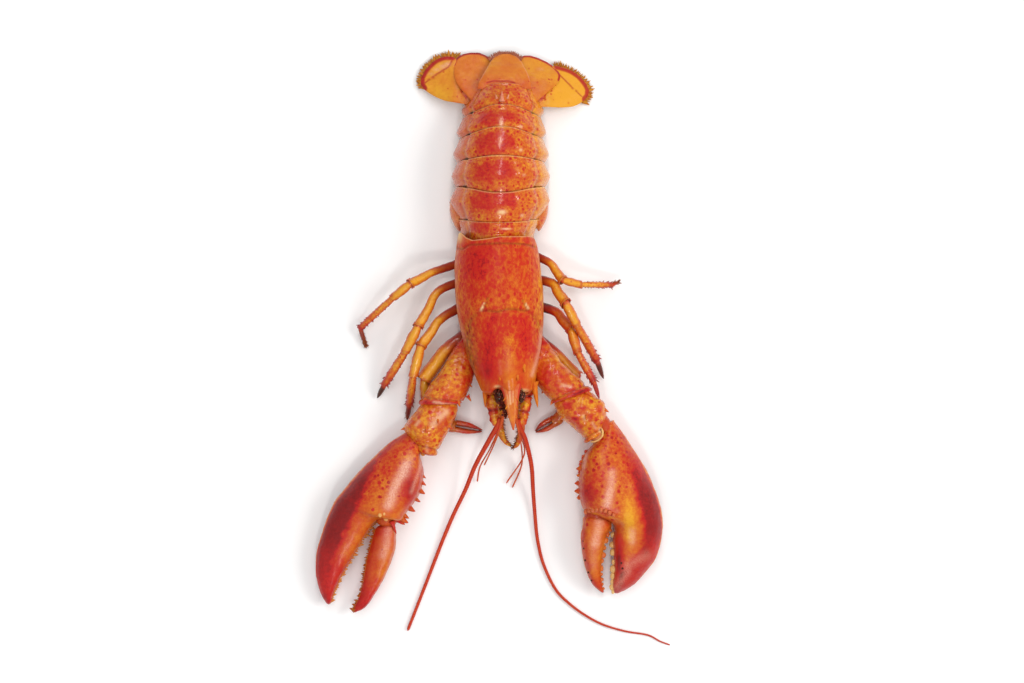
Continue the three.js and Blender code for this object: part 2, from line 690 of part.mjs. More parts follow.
function makeCutterPalm() {
  const palmSpines = edgeTeeth(cutterPalmRibs, {
    count: 5, from: 0.24, to: 0.44, edge: 1, reach: 2.6, radius: 1.8, forward: 1.6,
  });
  const teeth = edgeTeeth(cutterPalmRibs, {
    count: 9, from: 0.62, to: 0.95, edge: 1, reach: 1.0, radius: 1.1,
  });
  return fuse(shell(cutterPalmRibs, { ...palmOptions, crest: cutterCrest }), [...palmSpines, ...teeth]);
}

function crusherPalmBody(grow = 0) {
  return shell(crusherPalmRibs, { ...palmOptions, crest: crusherCrest, grow });
}

function makeCrusherPalm() {
  const palmSpines = edgeTeeth(crusherPalmRibs, {
    count: 4, from: 0.28, to: 0.46, edge: 1, reach: 2.4, radius: 1.9, forward: 1.4,
  });
  const teeth = edgeTeeth(crusherPalmRibs, {
    count: 6, from: 0.64, to: 0.91, edge: 1, reach: 1.8, radius: 2.4, blunt: true,
  });
  return fuse(crusherPalmBody(), [...palmSpines, ...teeth]);
}

function makeCutterFinger() {
  const teeth = edgeTeeth(cutterFingerRibs, {
    count: 7, from: 0.3, to: 0.9, edge: -1, reach: 0.9, radius: 1.0,
  });
  return fuse(shell(cutterFingerRibs, { ...fingerOptions, crest: cutterCrest }), teeth);
}

function makeCrusherFinger() {
  const teeth = edgeTeeth(crusherFingerRibs, {
    count: 5, from: 0.3, to: 0.85, edge: -1, reach: 1.2, radius: 1.9, blunt: true,
  });
  return fuse(shell(crusherFingerRibs, fingerOptions), teeth);
}

function makeWrist(ribs, spineSpots) {
  const spines = spineSpots.map(([base, tip]) => spike(base, tip, 1.7));
  return fuse(shell(ribs, armOptions), spines);
}

// Feelers, small feelers and mouth legs: x, y, z along each, then half widths at the
// root and at the end

const feelerRoutes = {
  antenna_right: {
    path: [
      [2.2, -45.8, 25.4], [-2.0, -52.7, 20.4], [-9.8, -67.1, 12.5],
      [-15.7, -81.5, 7], [-22.6, -95.9, 3.6], [-28.6, -110.2, 2.2],
      [-34.1, -124.4, 1.9], [-39.6, -138.7, 1.7], [-48.7, -162.0, 1.5],
    ],
    thick: [1.7, 0.9], rings: 18,
  },
  antenna_left: {
    path: [
      [15.4, -46.6, 25.2], [18.4, -52.7, 20], [21.8, -67.1, 12.5],
      [22.8, -81.5, 6], [23.9, -95.9, 3], [25.4, -110.2, 2],
      [28.9, -124.4, 1.6], [35.6, -138.2, 1.5], [43.2, -146.2, 1.4],
      [52.4, -153.0, 1.3], [62.6, -158.4, 1.2], [75.2, -162.2, 1.0],
      [88.1, -164.4, 0.8], [95.2, -168.0, 0.7], [101.0, -170.3, 0.6],
    ],
    thick: [1.7, 0.4], rings: 30,
  },
};

const feelerBases = {
  antenna_base_right: [
    [-0.6, -20.5, 22.5, 3.2, 3.4], [-0.4, -31, 24.5, 3.4, 3.4], [2.0, -44.6, 25.6, 2.6, 2.6],
  ],
  antenna_base_left: [
    [19.2, -20.5, 22.5, 3.2, 3.4], [18.4, -32, 24.5, 3.2, 3.4], [15.8, -45.2, 25.6, 2.5, 2.6],
  ],
};

const smallFeelers = {
  antennule_right: [
    [[6.4, -29, 30.5], [5.6, -40, 30.4], [1.6, -53, 19], [-5, -67.5, 8]],
    [[6.4, -29, 30.5], [5.4, -41, 29.8], [-1.2, -57, 14.5], [-7.2, -68, 6], [-9, -77, 1.5]],
  ],
  antennule_left: [
    [[13.2, -29, 30.5], [13.0, -40, 31.2], [14.6, -48, 28], [17.8, -61, 9], [7.5, -78, 1.5]],
    [[13.2, -29, 30.5], [13.2, -41, 31.2], [15.0, -49, 26.5], [16.5, -66, 5], [11, -80.5, 1]],
  ],
};

const mouthLegs = {
  maxilliped_right: [
    [3.4, -16, 7, 2.6, 2.4], [3.6, -34, 9, 2.6, 2.4], [4.0, -46, 10, 2.3, 2.2],
    [6.4, -53, 8.4, 1.7, 1.7], [10.2, -56.6, 7, 0.9, 0.9],
  ],
  maxilliped_left: [
    [15.2, -16, 7, 2.6, 2.4], [15.4, -34, 9, 2.6, 2.4], [16.0, -47, 10, 2.2, 2.2],
    [14.6, -53.6, 8.4, 1.7, 1.7], [12.0, -57.8, 7, 0.9, 0.9],
  ],
};

function makeFeeler({ path, thick, rings }) {
  const last = path.length - 1;
  const stations = path.map((point, i) => {
    const radius = thick[0] + (thick[1] - thick[0]) * (i / last) ** 0.7;
    return [...point, radius, radius];
  });
  return limb(stations, { rings, around: 5, roundStart: 0.01, roundEnd: 0.01, crowd: 0 });
}

function makeSmallFeeler(branches) {
  const pieces = branches.map((path) => {
    const last = path.length - 1;
    const stations = path.map((point, i) => {
      const radius = 1.3 - 0.85 * Math.min(1, i / last * 2);
      return [...point, radius, radius];
    });
    return limb(stations, { rings: 8, around: 4, roundStart: 0.04, roundEnd: 0.02, crowd: 0 });
  });
  return pieces[0].add(pieces[1]);
}

// Everything together

const lobster = new THREE.Group();

function place(name, solid, colour, roughness = 0.35) {
  const { numProp, vertProperties, triVerts } = solid.simplify(tinyEdge).getMesh();
  const positions = new Float32Array(vertProperties.length / numProp * 3);
  for (let i = 0; i < positions.length / 3; i++) {
    positions.set(vertProperties.subarray(i * numProp, i * numProp + 3), i * 3);
  }
  const geometry = new THREE.BufferGeometry();
  geometry.setAttribute('position', new THREE.BufferAttribute(positions, 3));
  geometry.setIndex(new THREE.BufferAttribute(new Uint32Array(triVerts), 1));
  geometry.computeVertexNormals();
  const material = new THREE.MeshStandardMaterial({ color: colour, roughness, metalness: 0 });
  const mesh = new THREE.Mesh(geometry, material);
  mesh.name = name;
  lobster.add(mesh);
}

const carapaceSpace = carapaceBody(clearance);
const belly = makeBelly();
const armSpaces = [cutterArm, crusherArm].map((ribs) => shell(ribs, { ...armOptions, grow: clearance }));

place('carapace', makeCarapace(), colours.carapace);
place('breastplate', belly, colours.belly, 0.5);
eyeCentres.forEach((centre, i) => {
  place(`eye_${i === 0 ? 'right' : 'left'}`, knob(centre, eyeSize, 9, 6), colours.eye, 0.15);
});

for (let k = 0; k < 6; k++) {
  place(`tail_ring_${k + 1}`, makeTailRing(k), colours.tail);
}

const telsonSpace = plate(telsonRows, clearance);
const lastRingSpace = tailRingBody(5, clearance);
place('telson', carve(plate(telsonRows), [lastRingSpace]), colours.fan);
for (const side of ['right', 'left']) {
  const inner = fanRows[`inner_${side}`];
  const outer = fanRows[`outer_${side}`];
  const base = fanBaseRows[side];
  const neighbours = [lastRingSpace, limb(base, { ...fanBaseOptions, grow: clearance })];
  place(`fan_base_${side}`, carve(limb(base, fanBaseOptions), [lastRingSpace]), colours.fan);
  place(`fan_inner_${side}`, carve(plate(inner), [telsonSpace, ...neighbours]), colours.fan);
  place(`fan_outer_${side}`, carve(plate(outer), [plate(inner, clearance), ...neighbours]), colours.fan);
}

place('cutter_arm', carve(shell(cutterArm, armOptions), [carapaceSpace]), colours.claw);
place('crusher_arm', carve(shell(crusherArm, armOptions), [carapaceSpace]), colours.claw);
place('cutter_wrist', makeWrist(cutterWrist, [
  [[-45.5, -44.5, 19], [-52.0, -47.0, 20]],
  [[-37.0, -44.0, 26], [-37.5, -49.0, 31]],
]), colours.claw);
place('crusher_wrist', makeWrist(crusherWrist, [
  [[60.5, -34.0, 20], [65.6, -37.0, 20.6]],
  [[53.0, -37.0, 27], [52.5, -42.0, 31.5]],
]), colours.claw);
place('cutter_palm', makeCutterPalm(), colours.claw);
place('cutter_finger', makeCutterFinger(), colours.claw);
place('crusher_palm', makeCrusherPalm(), colours.claw);
place('crusher_finger', carve(makeCrusherFinger(), [crusherPalmBody(clearance)]), colours.claw);

for (const [name, route] of Object.entries(legRoutes)) {
  const pieces = legPieces(route);
  place(`${name}_thigh`, carve(pieces.thigh, [carapaceSpace, ...armSpaces]), colours.leg);
  place(`${name}_shin`, pieces.shin, colours.leg);
  place(`${name}_foot`, pieces.foot, colours.leg);
}

for (const [name, stations] of Object.entries(feelerBases)) {
  const base = limb(stations, { rings: 8, around: 8, roundStart: 0.1, roundEnd: 0.1 });
  place(name, carve(base, [carapaceSpace]), colours.leg);
}
for (const [name, route] of Object.entries(feelerRoutes)) place(name, makeFeeler(route), colours.feeler);
for (const [name, branches] of Object.entries(smallFeelers)) {
  place(name, carve(makeSmallFeeler(branches), [carapaceSpace]), colours.feeler);
}
for (const [name, stations] of Object.entries(mouthLegs)) {
  const leg = limb(stations, { rings: 9, around: 7, roundStart: 0.08, roundEnd: 0.1 });
  place(name, carve(leg, [carapaceSpace]), colours.mouth, 0.6);
}

export default lobster;
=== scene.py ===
import math

import bpy
import numpy as np
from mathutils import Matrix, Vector


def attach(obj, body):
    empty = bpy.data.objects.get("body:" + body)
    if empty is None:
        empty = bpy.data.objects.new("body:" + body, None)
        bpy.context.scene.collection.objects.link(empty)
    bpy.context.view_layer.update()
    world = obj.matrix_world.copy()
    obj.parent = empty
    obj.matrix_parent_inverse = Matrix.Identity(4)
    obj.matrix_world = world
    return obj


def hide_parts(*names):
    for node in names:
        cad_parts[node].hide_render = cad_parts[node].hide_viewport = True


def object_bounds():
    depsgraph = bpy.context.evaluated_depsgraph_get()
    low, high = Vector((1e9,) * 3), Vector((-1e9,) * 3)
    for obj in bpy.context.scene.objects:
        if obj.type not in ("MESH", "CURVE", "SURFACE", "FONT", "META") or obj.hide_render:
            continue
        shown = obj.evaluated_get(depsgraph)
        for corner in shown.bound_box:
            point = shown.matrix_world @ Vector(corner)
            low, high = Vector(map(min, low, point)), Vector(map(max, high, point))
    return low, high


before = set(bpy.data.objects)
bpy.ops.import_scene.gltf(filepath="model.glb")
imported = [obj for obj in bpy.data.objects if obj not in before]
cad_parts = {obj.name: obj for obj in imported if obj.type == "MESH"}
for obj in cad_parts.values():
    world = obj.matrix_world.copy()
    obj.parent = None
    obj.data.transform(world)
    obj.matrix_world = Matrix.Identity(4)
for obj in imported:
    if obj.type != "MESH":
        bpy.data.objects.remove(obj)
cadLow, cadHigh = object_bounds()

# A cooked lobster on its belly, seen from straight above. Lengths are in millimetres and
# become metres where a mesh is made. +Y runs to the tail, +X to the animal's own left.
mm = 0.001
clearance = 0.3
# Fields: tone, specks, pale skin and painted highlights, stains and painted shade, cream and painted glints
fieldNames = ("tone", "speck", "bloom", "stain", "cream")
madePieces = []


# Curves: cubics through equally spaced rows, t from 0 at the first row to 1 at the last; the
# slope at a row is half the step from the row before it to the row after it
def alongRows(rows, t):
    rows = np.asarray(rows, float)
    padded = np.vstack([2 * rows[0] - rows[1], rows, 2 * rows[-1] - rows[-2]])
    place = np.clip(t, 0, 1) * (len(rows) - 1)
    i = np.minimum(place.astype(int), len(rows) - 2)
    f = (place - i)[..., None]
    before, here, after, beyond = (padded[i + k] for k in range(4))
    slopeIn, slopeOut, rise = (after - before) / 2, (beyond - here) / 2, after - here
    return here + f * (slopeIn + f * (3 * rise - 2 * slopeIn - slopeOut
                                      + f * (slopeIn + slopeOut - 2 * rise)))


# Ring places crowd towards both ends: u less a sine of one turn
def ringPlaces(count, crowd=0.4):
    u = np.linspace(0, 1, count)
    return u - crowd * np.sin(2 * np.pi * u) / (2 * np.pi)


# A quarter circle from nothing to full size over each rounded end
def endShare(t, roundStart, roundEnd):
    share = np.ones_like(t)
    if roundStart > 0:
        share = share * np.sqrt(1 - np.clip(1 - t / roundStart, 0, 1) ** 2)
    if roundEnd > 0:
        share = share * np.sqrt(1 - np.clip((t - 1 + roundEnd) / roundEnd, 0, 1) ** 2)
    return np.maximum(share, 0.04)


# The 2/n power with its sign: n = 2 leaves a cosine as it is, more makes a squarer section
def signedPower(value, n):
    return np.sign(value) * np.abs(value) ** (2 / n)


# Each vector over its length
def unit(vectors):
    return vectors / np.maximum(np.linalg.norm(vectors, axis=-1, keepdims=True), 1e-9)


# 1 at no distance, 1/e at reach, and nothing far off
def bell(distance, reach):
    return np.exp(-(distance / reach) ** 2)


# 0 below low, 1 above high and an S curve between; low above high turns it round
def smooth(value, low, high):
    s = np.clip((value - low) / (high - low), 0, 1)
    return s * s * (3 - 2 * s)


# A shell point: middle + side * half * (cos^(2/n) + crest * sin^2) + upward * rise or drop *
# sin^(2/n). A rib is the middle x, y, z, the half vector, rise, drop and lean in degrees.
def shellPoints(ribs, form, t, angle):
    row = alongRows(ribs, t)
    share = endShare(t, form.get("roundStart", 0), form.get("roundEnd", 0))
    half = np.maximum(np.linalg.norm(row[..., 3:6], axis=-1) * share, 0.1)
    lean = np.radians(row[..., 8])
    upward = np.stack([0 * lean, np.sin(lean), np.cos(lean)], -1)
    across, height = np.cos(angle), np.sin(angle)
    up = height > 0
    n = np.where(up, form.get("topPower", 2), form.get("bottomPower", 2))
    x = (signedPower(across, n) + up * form.get("crest", 0) * height ** 2) * half
    z = signedPower(height, n) * np.maximum(np.where(up, row[..., 6], row[..., 7]) * share, 0.1)
    z = z + ~up * form.get("hollow", 0) * np.maximum(0, 1 - (x / half / 0.85) ** 2)
    return row[..., 0:3] + unit(row[..., 3:6]) * x[..., None] + upward * z[..., None]


# The grid of a shell, with the place t along it and the angle round it of each point
def shellGrid(ribs, form):
    t = ringPlaces(form["along"], form.get("crowd", 0.3))[:, None]
    angle = ((np.arange(form["around"]) + 0.5) / form["around"] * 2 * np.pi)[None, :]
    t, angle = np.broadcast_arrays(t, angle)
    return shellPoints(ribs, form, t, angle), t, angle


# A limb point: station + side * cos * half across + up * sin * half height, where side lies
# flat and square to the path. A station is x, y, z, half width, half height.
def limbGrid(stations, form, swell=None):
    t = ringPlaces(form["along"], form.get("crowd", 0.3))
    row = alongRows(stations, t)
    step = 0.01
    forward = unit(alongRows(stations, np.minimum(t + step, 1))[:, :3]
                   - alongRows(stations, np.maximum(t - step, 0))[:, :3])
    side = unit(np.stack([forward[:, 1], -forward[:, 0], 0 * t], -1))
    upward = np.cross(side, forward)
    share = endShare(t, form.get("roundStart", 0.1), form.get("roundEnd", 0.1))
    if swell is not None:
        share = share * swell(t)
    angle = (np.arange(form["around"]) + 0.5) / form["around"] * 2 * np.pi
    wide = np.maximum(row[:, 3], 0.15) * share
    tall = np.maximum(row[:, 4], 0.15) * share
    grid = (row[:, None, :3]
            + side[:, None] * (np.cos(angle)[None] * wide[:, None])[..., None]
            + upward[:, None] * (np.sin(angle)[None] * tall[:, None])[..., None])
    t, angle = np.broadcast_arrays(t[:, None], angle[None, :])
    return grid, t, angle


# Outward normals of a ring grid: the cross product of its two steps
def gridNormals(grid):
    along = np.gradient(grid, axis=0)
    around = np.roll(grid, -1, 1) - np.roll(grid, 1, 1)
    normal = unit(np.cross(around, along))
    outward = grid - grid.mean(axis=1, keepdims=True)
    return normal * np.sign((normal * outward).sum())


# Moves a grid's points along its normals, and keeps them on or above the table
def raised(grid, amount):
    moved = grid + gridNormals(grid) * np.asarray(amount)[..., None]
    moved[..., 2] = np.maximum(moved[..., 2], 0.0)
    return moved


# Turns one end of a grid in on itself: a ring one wall inside the rim, then one further in
def withMouth(grid, t, angle, wall, depth, atEnd=True):
    flip = -1 if atEnd else 1
    grid, t, angle = grid[::flip], t[::flip], angle[::flip]
    middle = grid[0].mean(0)
    lip = grid[0] - unit(grid[0] - middle) * wall
    deep = lip + unit(grid[len(grid) // 6].mean(0) - middle) * depth
    grid = np.concatenate([deep[None], lip[None], grid])
    t = np.concatenate([np.full_like(t[:2], 2.0 if atEnd else -1.0), t])
    angle = np.concatenate([angle[:2], angle])
    return grid[::flip], t[::flip], angle[::flip]


# Distance in plan from the points to a line through the given x, y stops
def lineDistance(x, y, stops):
    stops = np.asarray(stops, float)
    nearest = np.full(x.shape, 1e9)
    for (ax, ay), (bx, by) in zip(stops[:-1], stops[1:]):
        run = np.clip(((x - ax) * (bx - ax) + (y - ay) * (by - ay))
                      / ((bx - ax) ** 2 + (by - ay) ** 2), 0, 1)
        away = np.hypot(x - ax - run * (bx - ax), y - ay - run * (by - ay))
        nearest = np.minimum(nearest, away)
    return nearest


# Sum of soft patches over the plan; each is x, y, reach in x, reach in y, amount
def patches(x, y, spots):
    total = np.zeros(x.shape)
    for spotX, spotY, reachX, reachY, amount in spots:
        total += amount * np.exp(-((x - spotX) / reachX) ** 2 - ((y - spotY) / reachY) ** 2)
    return total


# Sum of soft lines over the plan; each is its stops, reach and amount
def streaks(x, y, lines):
    return sum(amount * bell(lineDistance(x, y, stops), reach) for stops, reach, amount in lines)


# Uneven swells on the points: sums of sines along turned directions, between -1 and 1
def waves(points, size, seed):
    draw = np.random.default_rng(seed)
    total = np.zeros(points.shape[:-1])
    for octave in range(3):
        for _ in range(5):
            direction = draw.normal(size=3)
            direction *= 2 * np.pi * (1.7 ** octave) / size / np.linalg.norm(direction)
            total += np.sin(points @ direction + draw.uniform(0, 2 * np.pi)) / (1.6 ** octave)
    return total / 4.5


# Meshes: ring grids of shape (many, along, around, 3) closed by a fan at each end
def closeGrids(grids, **fields):
    many, along, around, _ = grids.shape
    size = along * around + 2
    index = np.arange(along * around).reshape(along, around)
    index = (np.arange(many) * size)[:, None, None] + index
    nextOne = np.roll(index, -1, axis=2)
    quads = np.stack([index[:, :-1], nextOne[:, :-1], nextOne[:, 1:], index[:, 1:]], -1).reshape(-1, 4)
    start = np.broadcast_to(index[:, :1, :1].reshape(many, 1) + along * around, (many, around))
    fans = np.concatenate([
        np.stack([start, nextOne[:, 0], index[:, 0]], -1).reshape(-1, 3),
        np.stack([start + 1, index[:, -1], nextOne[:, -1]], -1).reshape(-1, 3)])
    ends = np.stack([grids[:, 0].mean(1), grids[:, -1].mean(1)], 1)
    made = {"points": np.concatenate([grids.reshape(many, -1, 3), ends], 1).reshape(-1, 3)}
    for name in fieldNames:
        value = np.broadcast_to(np.asarray(fields.get(name, 0.0), float), grids.shape[:3])
        caps = np.stack([value[:, 0].mean(1), value[:, -1].mean(1)], 1)
        made[name] = np.concatenate([value.reshape(many, -1), caps], 1).ravel()
    p = made["points"]
    a, b, c = (p[quads[:, k]] for k in range(3))
    if (a * np.cross(b, c)).sum() + (a * np.cross(c, p[quads[:, 3]])).sum() < 0:
        quads, fans = quads[:, ::-1], fans[:, ::-1]
    made["quads"], made["fans"] = quads, fans
    return made


# The same for one grid
def closeGrid(grid, **fields):
    return closeGrids(grid[None], **{k: np.asarray(v, float)[None] if np.ndim(v) else v
                                     for k, v in fields.items()})


# Horns: circles of radius * (1 - s)^taper along a bent line from root to tip
def horns(roots, tips, radii, bends=None, rings=7, around=8, taper=0.7, flare=0.5, **fields):
    roots, tips = np.atleast_2d(roots).astype(float), np.atleast_2d(tips).astype(float)
    radii = np.broadcast_to(np.asarray(radii, float), len(roots))
    bends = np.zeros_like(roots) if bends is None else np.broadcast_to(bends, roots.shape)
    s = np.linspace(0, 1, rings)[None, :, None]
    centre = roots[:, None] * (1 - s) + tips[:, None] * s + bends[:, None] * 4 * s * (1 - s)
    forward = unit(tips - roots)
    guide = np.where(np.abs(forward[:, 2:]) < 0.8, [[0.0, 0, 1]], [[1.0, 0, 0]])
    side = unit(np.cross(forward, guide))[:, None, None]
    other = np.cross(forward, side[:, 0, 0])[:, None, None]
    turn = (np.arange(around) / around * 2 * np.pi)[:, None]
    width = radii[:, None] * ((1 - s[..., 0]) ** taper * (1 + flare * np.exp(-s[..., 0] / 0.12)) + 0.05)
    circle = side * np.cos(turn) + other * np.sin(turn)
    return closeGrids(centre[:, :, None] + circle * width[..., None, None], **fields)


# Knobs: ellipsoids with half sizes out, forward and up, on centres with their out directions
def knobs(centres, outs, sizes, rings=9, around=12, **fields):
    centres = np.atleast_2d(centres).astype(float)
    outs = np.broadcast_to(unit(np.atleast_2d(outs).astype(float)), centres.shape)
    sizes = np.broadcast_to(np.atleast_2d(sizes), centres.shape)
    guide = np.where(np.abs(outs[:, 2:]) < 0.8, [[0.0, 0, 1]], [[1.0, 0, 0]])
    forward = unit(np.cross(guide, outs))
    upward = np.cross(outs, forward)
    polar = np.linspace(0.06, np.pi - 0.06, rings)[:, None]
    turn = (np.arange(around) / around * 2 * np.pi)[None]
    ball = np.stack([np.cos(polar) + 0 * turn, np.sin(polar) * np.cos(turn),
                     np.sin(polar) * np.sin(turn)], -1)
    axes = np.stack([outs * sizes[:, :1], forward * sizes[:, 1:2], upward * sizes[:, 2:]], 1)
    return closeGrids(centres[:, None, None] + np.einsum("rak,nkc->nrac", ball, axes), **fields)


# One object from several patches: its points in metres and its fields as point attributes
def addPiece(name, patchList, look, slotName, *nodes):
    offsets = np.cumsum([0] + [len(p["points"]) for p in patchList])
    points = np.concatenate([p["points"] for p in patchList]) * mm
    points = np.clip(points, np.array(cadLow) + 1e-5, np.array(cadHigh) - 1e-5)
    quads = np.concatenate([p["quads"] + o for p, o in zip(patchList, offsets)])
    fans = np.concatenate([p["fans"] + o for p, o in zip(patchList, offsets)])
    mesh = bpy.data.meshes.new(name)
    mesh.vertices.add(len(points))
    mesh.vertices.foreach_set("co", points.astype(np.float32).ravel())
    corners = np.concatenate([quads.ravel(), fans.ravel()]).astype(np.int32)
    starts = np.concatenate([np.arange(len(quads)) * 4, len(quads) * 4 + np.arange(len(fans)) * 3])
    mesh.loops.add(len(corners))
    mesh.loops.foreach_set("vertex_index", corners)
    mesh.polygons.add(len(starts))
    mesh.polygons.foreach_set("loop_start", starts.astype(np.int32))
    mesh.polygons.foreach_set("use_smooth", np.ones(len(starts), bool))
    mesh.update(calc_edges=True)
    for field in fieldNames:
        values = np.concatenate([p[field] for p in patchList]).astype(np.float32)
        mesh.attributes.new(field, "FLOAT", "POINT").data.foreach_set("value", values)
    mesh.materials.append(shells[look])
    piece = bpy.data.objects.new(name, mesh)
    bpy.context.scene.collection.objects.link(piece)
    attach(piece, "root")
    if nodes:
        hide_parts(*nodes)
    madePieces.append((name, len(quads) * 2 + len(fans)))


# Materials. The tone runs from the yellow of bare shell to the maroon of thick pigment.

toneStops = [
    (0.00, (223, 155, 37)),
    (0.22, (206, 110, 28)),
    (0.42, (196, 79, 25)),
    (0.60, (190, 50, 24)),
    (0.78, (187, 28, 26)),
    (0.90, (152, 24, 24)),
    (1.00, (112, 18, 20)),
]
# Pale colour for pale skin and painted highlights, dark colour for stains and painted shade, cream colour
# for cream parts and painted glints
bloomColour = (230, 170, 146)
stainColour = (58, 32, 18)
creamColour = (240, 212, 148)


# A colour of 0 to 255 as the shaders take it
def linear(red, green, blue):
    return tuple((c / 12.92 if c <= 0.04045 else ((c + 0.055) / 1.055) ** 2.4)
                 for c in (red / 255, green / 255, blue / 255)) + (1.0,)


# Adds nodes to a tree in a short form: add(type, settings, inputs by name or number)
class NodeBook:
    def __init__(self, tree):
        self.tree = tree

    def add(self, kind, settings=None, **inputs):
        node = self.tree.nodes.new("ShaderNode" + kind)
        for key, value in (settings or {}).items():
            setattr(node, key, value)
        for key, value in inputs.items():
            numbered = key[0] == "i" and key[1:].isdigit()
            self.feed(value, node.inputs[int(key[1:])] if numbered else node.inputs[key])
        return node

    def feed(self, value, socket):
        if isinstance(value, bpy.types.NodeSocket):
            self.tree.links.new(value, socket)
        else:
            socket.default_value = value

    def sum(self, operation, a, b=0.0, clamp=False):
        settings = {"operation": operation, "use_clamp": clamp}
        return self.add("Math", settings, i0=a, i1=b).outputs[0]

    def mix(self, share, a, b):
        return self.add("Mix", {"data_type": "RGBA"}, i0=share, i6=a, i7=b).outputs[2]

    def between(self, value, low, high, start=0.0, end=1.0):
        return self.add("MapRange", {"interpolation_type": "SMOOTHSTEP"},
                        i0=value, i1=low, i2=high, i3=start, i4=end).outputs[0]

    def noise(self, place, scale, detail=2.0, roughness=0.55):
        return self.add("TexNoise", None, Vector=place, Scale=scale, Detail=detail,
                        Roughness=roughness).outputs[0]

    def ramp(self, value, stops):
        node = self.add("ValToRGB", None, i0=value)
        while len(node.color_ramp.elements) < len(stops):
            node.color_ramp.elements.new(0.5)
        for element, (place, colour) in zip(node.color_ramp.elements, stops):
            element.position, element.color = place, linear(*colour)
        return node.outputs[0]


# Cooked shell: tone, mottles and round dots of pigment through one colour ramp, then a grainy pale
# colour for pale skin and painted highlights, cream for cream parts and painted glints, and a dark
# colour for stains and painted shade. The masks come from the mesh, the fine pattern from noise.
def makeShellGroup():
    group = bpy.data.node_groups.new("cookedShell", "ShaderNodeTree")
    starts = {"Tone": 0.5, "Speck": 0.0, "Bloom": 0.0, "Stain": 0.0, "Cream": 0.0,
              "Mottle": 0.2, "Mottle Scale": 260.0, "Speck Tone": 0.78, "Speck Scale": 450.0,
              "Pore Scale": 900.0, "Gloss": 0.35}
    group.interface.new_socket(name="Place", in_out="INPUT", socket_type="NodeSocketVector")
    for socket, start in starts.items():
        made = group.interface.new_socket(name=socket, in_out="INPUT", socket_type="NodeSocketFloat")
        made.default_value = start
    for socket, kind in (("Color", "Color"), ("Roughness", "Float"), ("Height", "Float")):
        group.interface.new_socket(name=socket, in_out="OUTPUT", socket_type="NodeSocket" + kind)
    book = NodeBook(group)
    given = group.nodes.new("NodeGroupInput").outputs
    out = group.nodes.new("NodeGroupOutput").inputs
    place = given["Place"]

    # mottles in three sizes, each about 0 in the middle
    wander = None
    for times, detail, size in ((1.0, 3.0, 0.8), (2.6, 2.0, 1.1), (7.0, 1.0, 0.5)):
        scale = book.sum("MULTIPLY", given["Mottle Scale"], times)
        part = book.between(book.noise(place, scale, detail), 0.36, 0.64, -size, size)
        wander = part if wander is None else book.sum("ADD", wander, part)
    wander = book.sum("MULTIPLY", wander, book.between(given["Tone"], 0.66, 0.92, 1.0, 0.25))
    wander = book.sum("MULTIPLY", wander, book.between(given["Speck"], 0.0, 0.4, 0.45, 1.0))
    tone = book.sum("MULTIPLY_ADD", wander, given["Mottle"])
    book.feed(given["Tone"], tone.node.inputs[2])

    # dots: cells of uneven size with soft ragged edges, redder than the shell between them
    shake = book.add("TexNoise", None, Vector=place, Scale=1500.0, Detail=1.0).outputs["Color"]
    shaken = book.add("VectorMath", {"operation": "MULTIPLY_ADD"}, i0=shake,
                      i1=(0.0009, 0.0009, 0.0009), i2=place).outputs[0]
    cells = book.add("TexVoronoi", {"feature": "F1"}, Vector=shaken, Scale=given["Speck Scale"])
    split = book.add("SeparateColor", None, i0=cells.outputs["Color"])
    reach = book.between(split.outputs[0], 0.0, 1.0, 0.3, 0.66)
    inner = book.sum("MULTIPLY", reach, 0.4)
    spot = book.between(cells.outputs["Distance"], inner, reach, 1.0, 0.0)
    present = book.between(book.sum("SUBTRACT", given["Speck"], split.outputs[1]), -0.06, 0.06)
    dots = book.sum("MULTIPLY", spot, present)
    depth = book.sum("MULTIPLY", given["Speck Tone"], book.between(split.outputs[2], 0.0, 1.0, 0.86, 1.1))
    tone = book.sum("MAXIMUM", tone, book.sum("MULTIPLY", dots, depth), clamp=True)

    colour = book.ramp(tone, toneStops)
    # A grainy pale colour for pale skin and painted highlights, then cream with painted glints and a dark
    # colour for stains and painted shade
    cloud = book.between(book.noise(place, 1500.0), 0.3, 0.7, 0.45, 1.15)
    bloom = book.sum("MULTIPLY", given["Bloom"], cloud, clamp=True)
    colour = book.mix(bloom, colour, linear(*bloomColour))
    colour = book.mix(given["Cream"], colour, linear(*creamColour))
    colour = book.mix(given["Stain"], colour, linear(*stainColour))
    pores = book.add("TexVoronoi", {"feature": "F1"}, Vector=place, Scale=given["Pore Scale"])
    pit = book.between(pores.outputs["Distance"], 0.05, 0.5, 0.0, 0.6)
    grain = book.sum("MULTIPLY", book.noise(place, 2600.0, 2.0, 0.6), 0.5)
    height = book.sum("ADD", book.sum("ADD", pit, grain), book.sum("MULTIPLY", dots, 0.2))
    rough = book.sum("ADD", book.between(book.noise(place, 420.0, 3.0), 0.3, 0.7, -0.06, 0.08),
                     given["Gloss"])
    rough = book.sum("ADD", rough, book.sum("MULTIPLY", given["Stain"], 0.2))
    book.feed(colour, out["Color"])
    book.feed(rough, out["Roughness"])
    book.feed(height, out["Height"])
    return group


shellGroup = makeShellGroup()


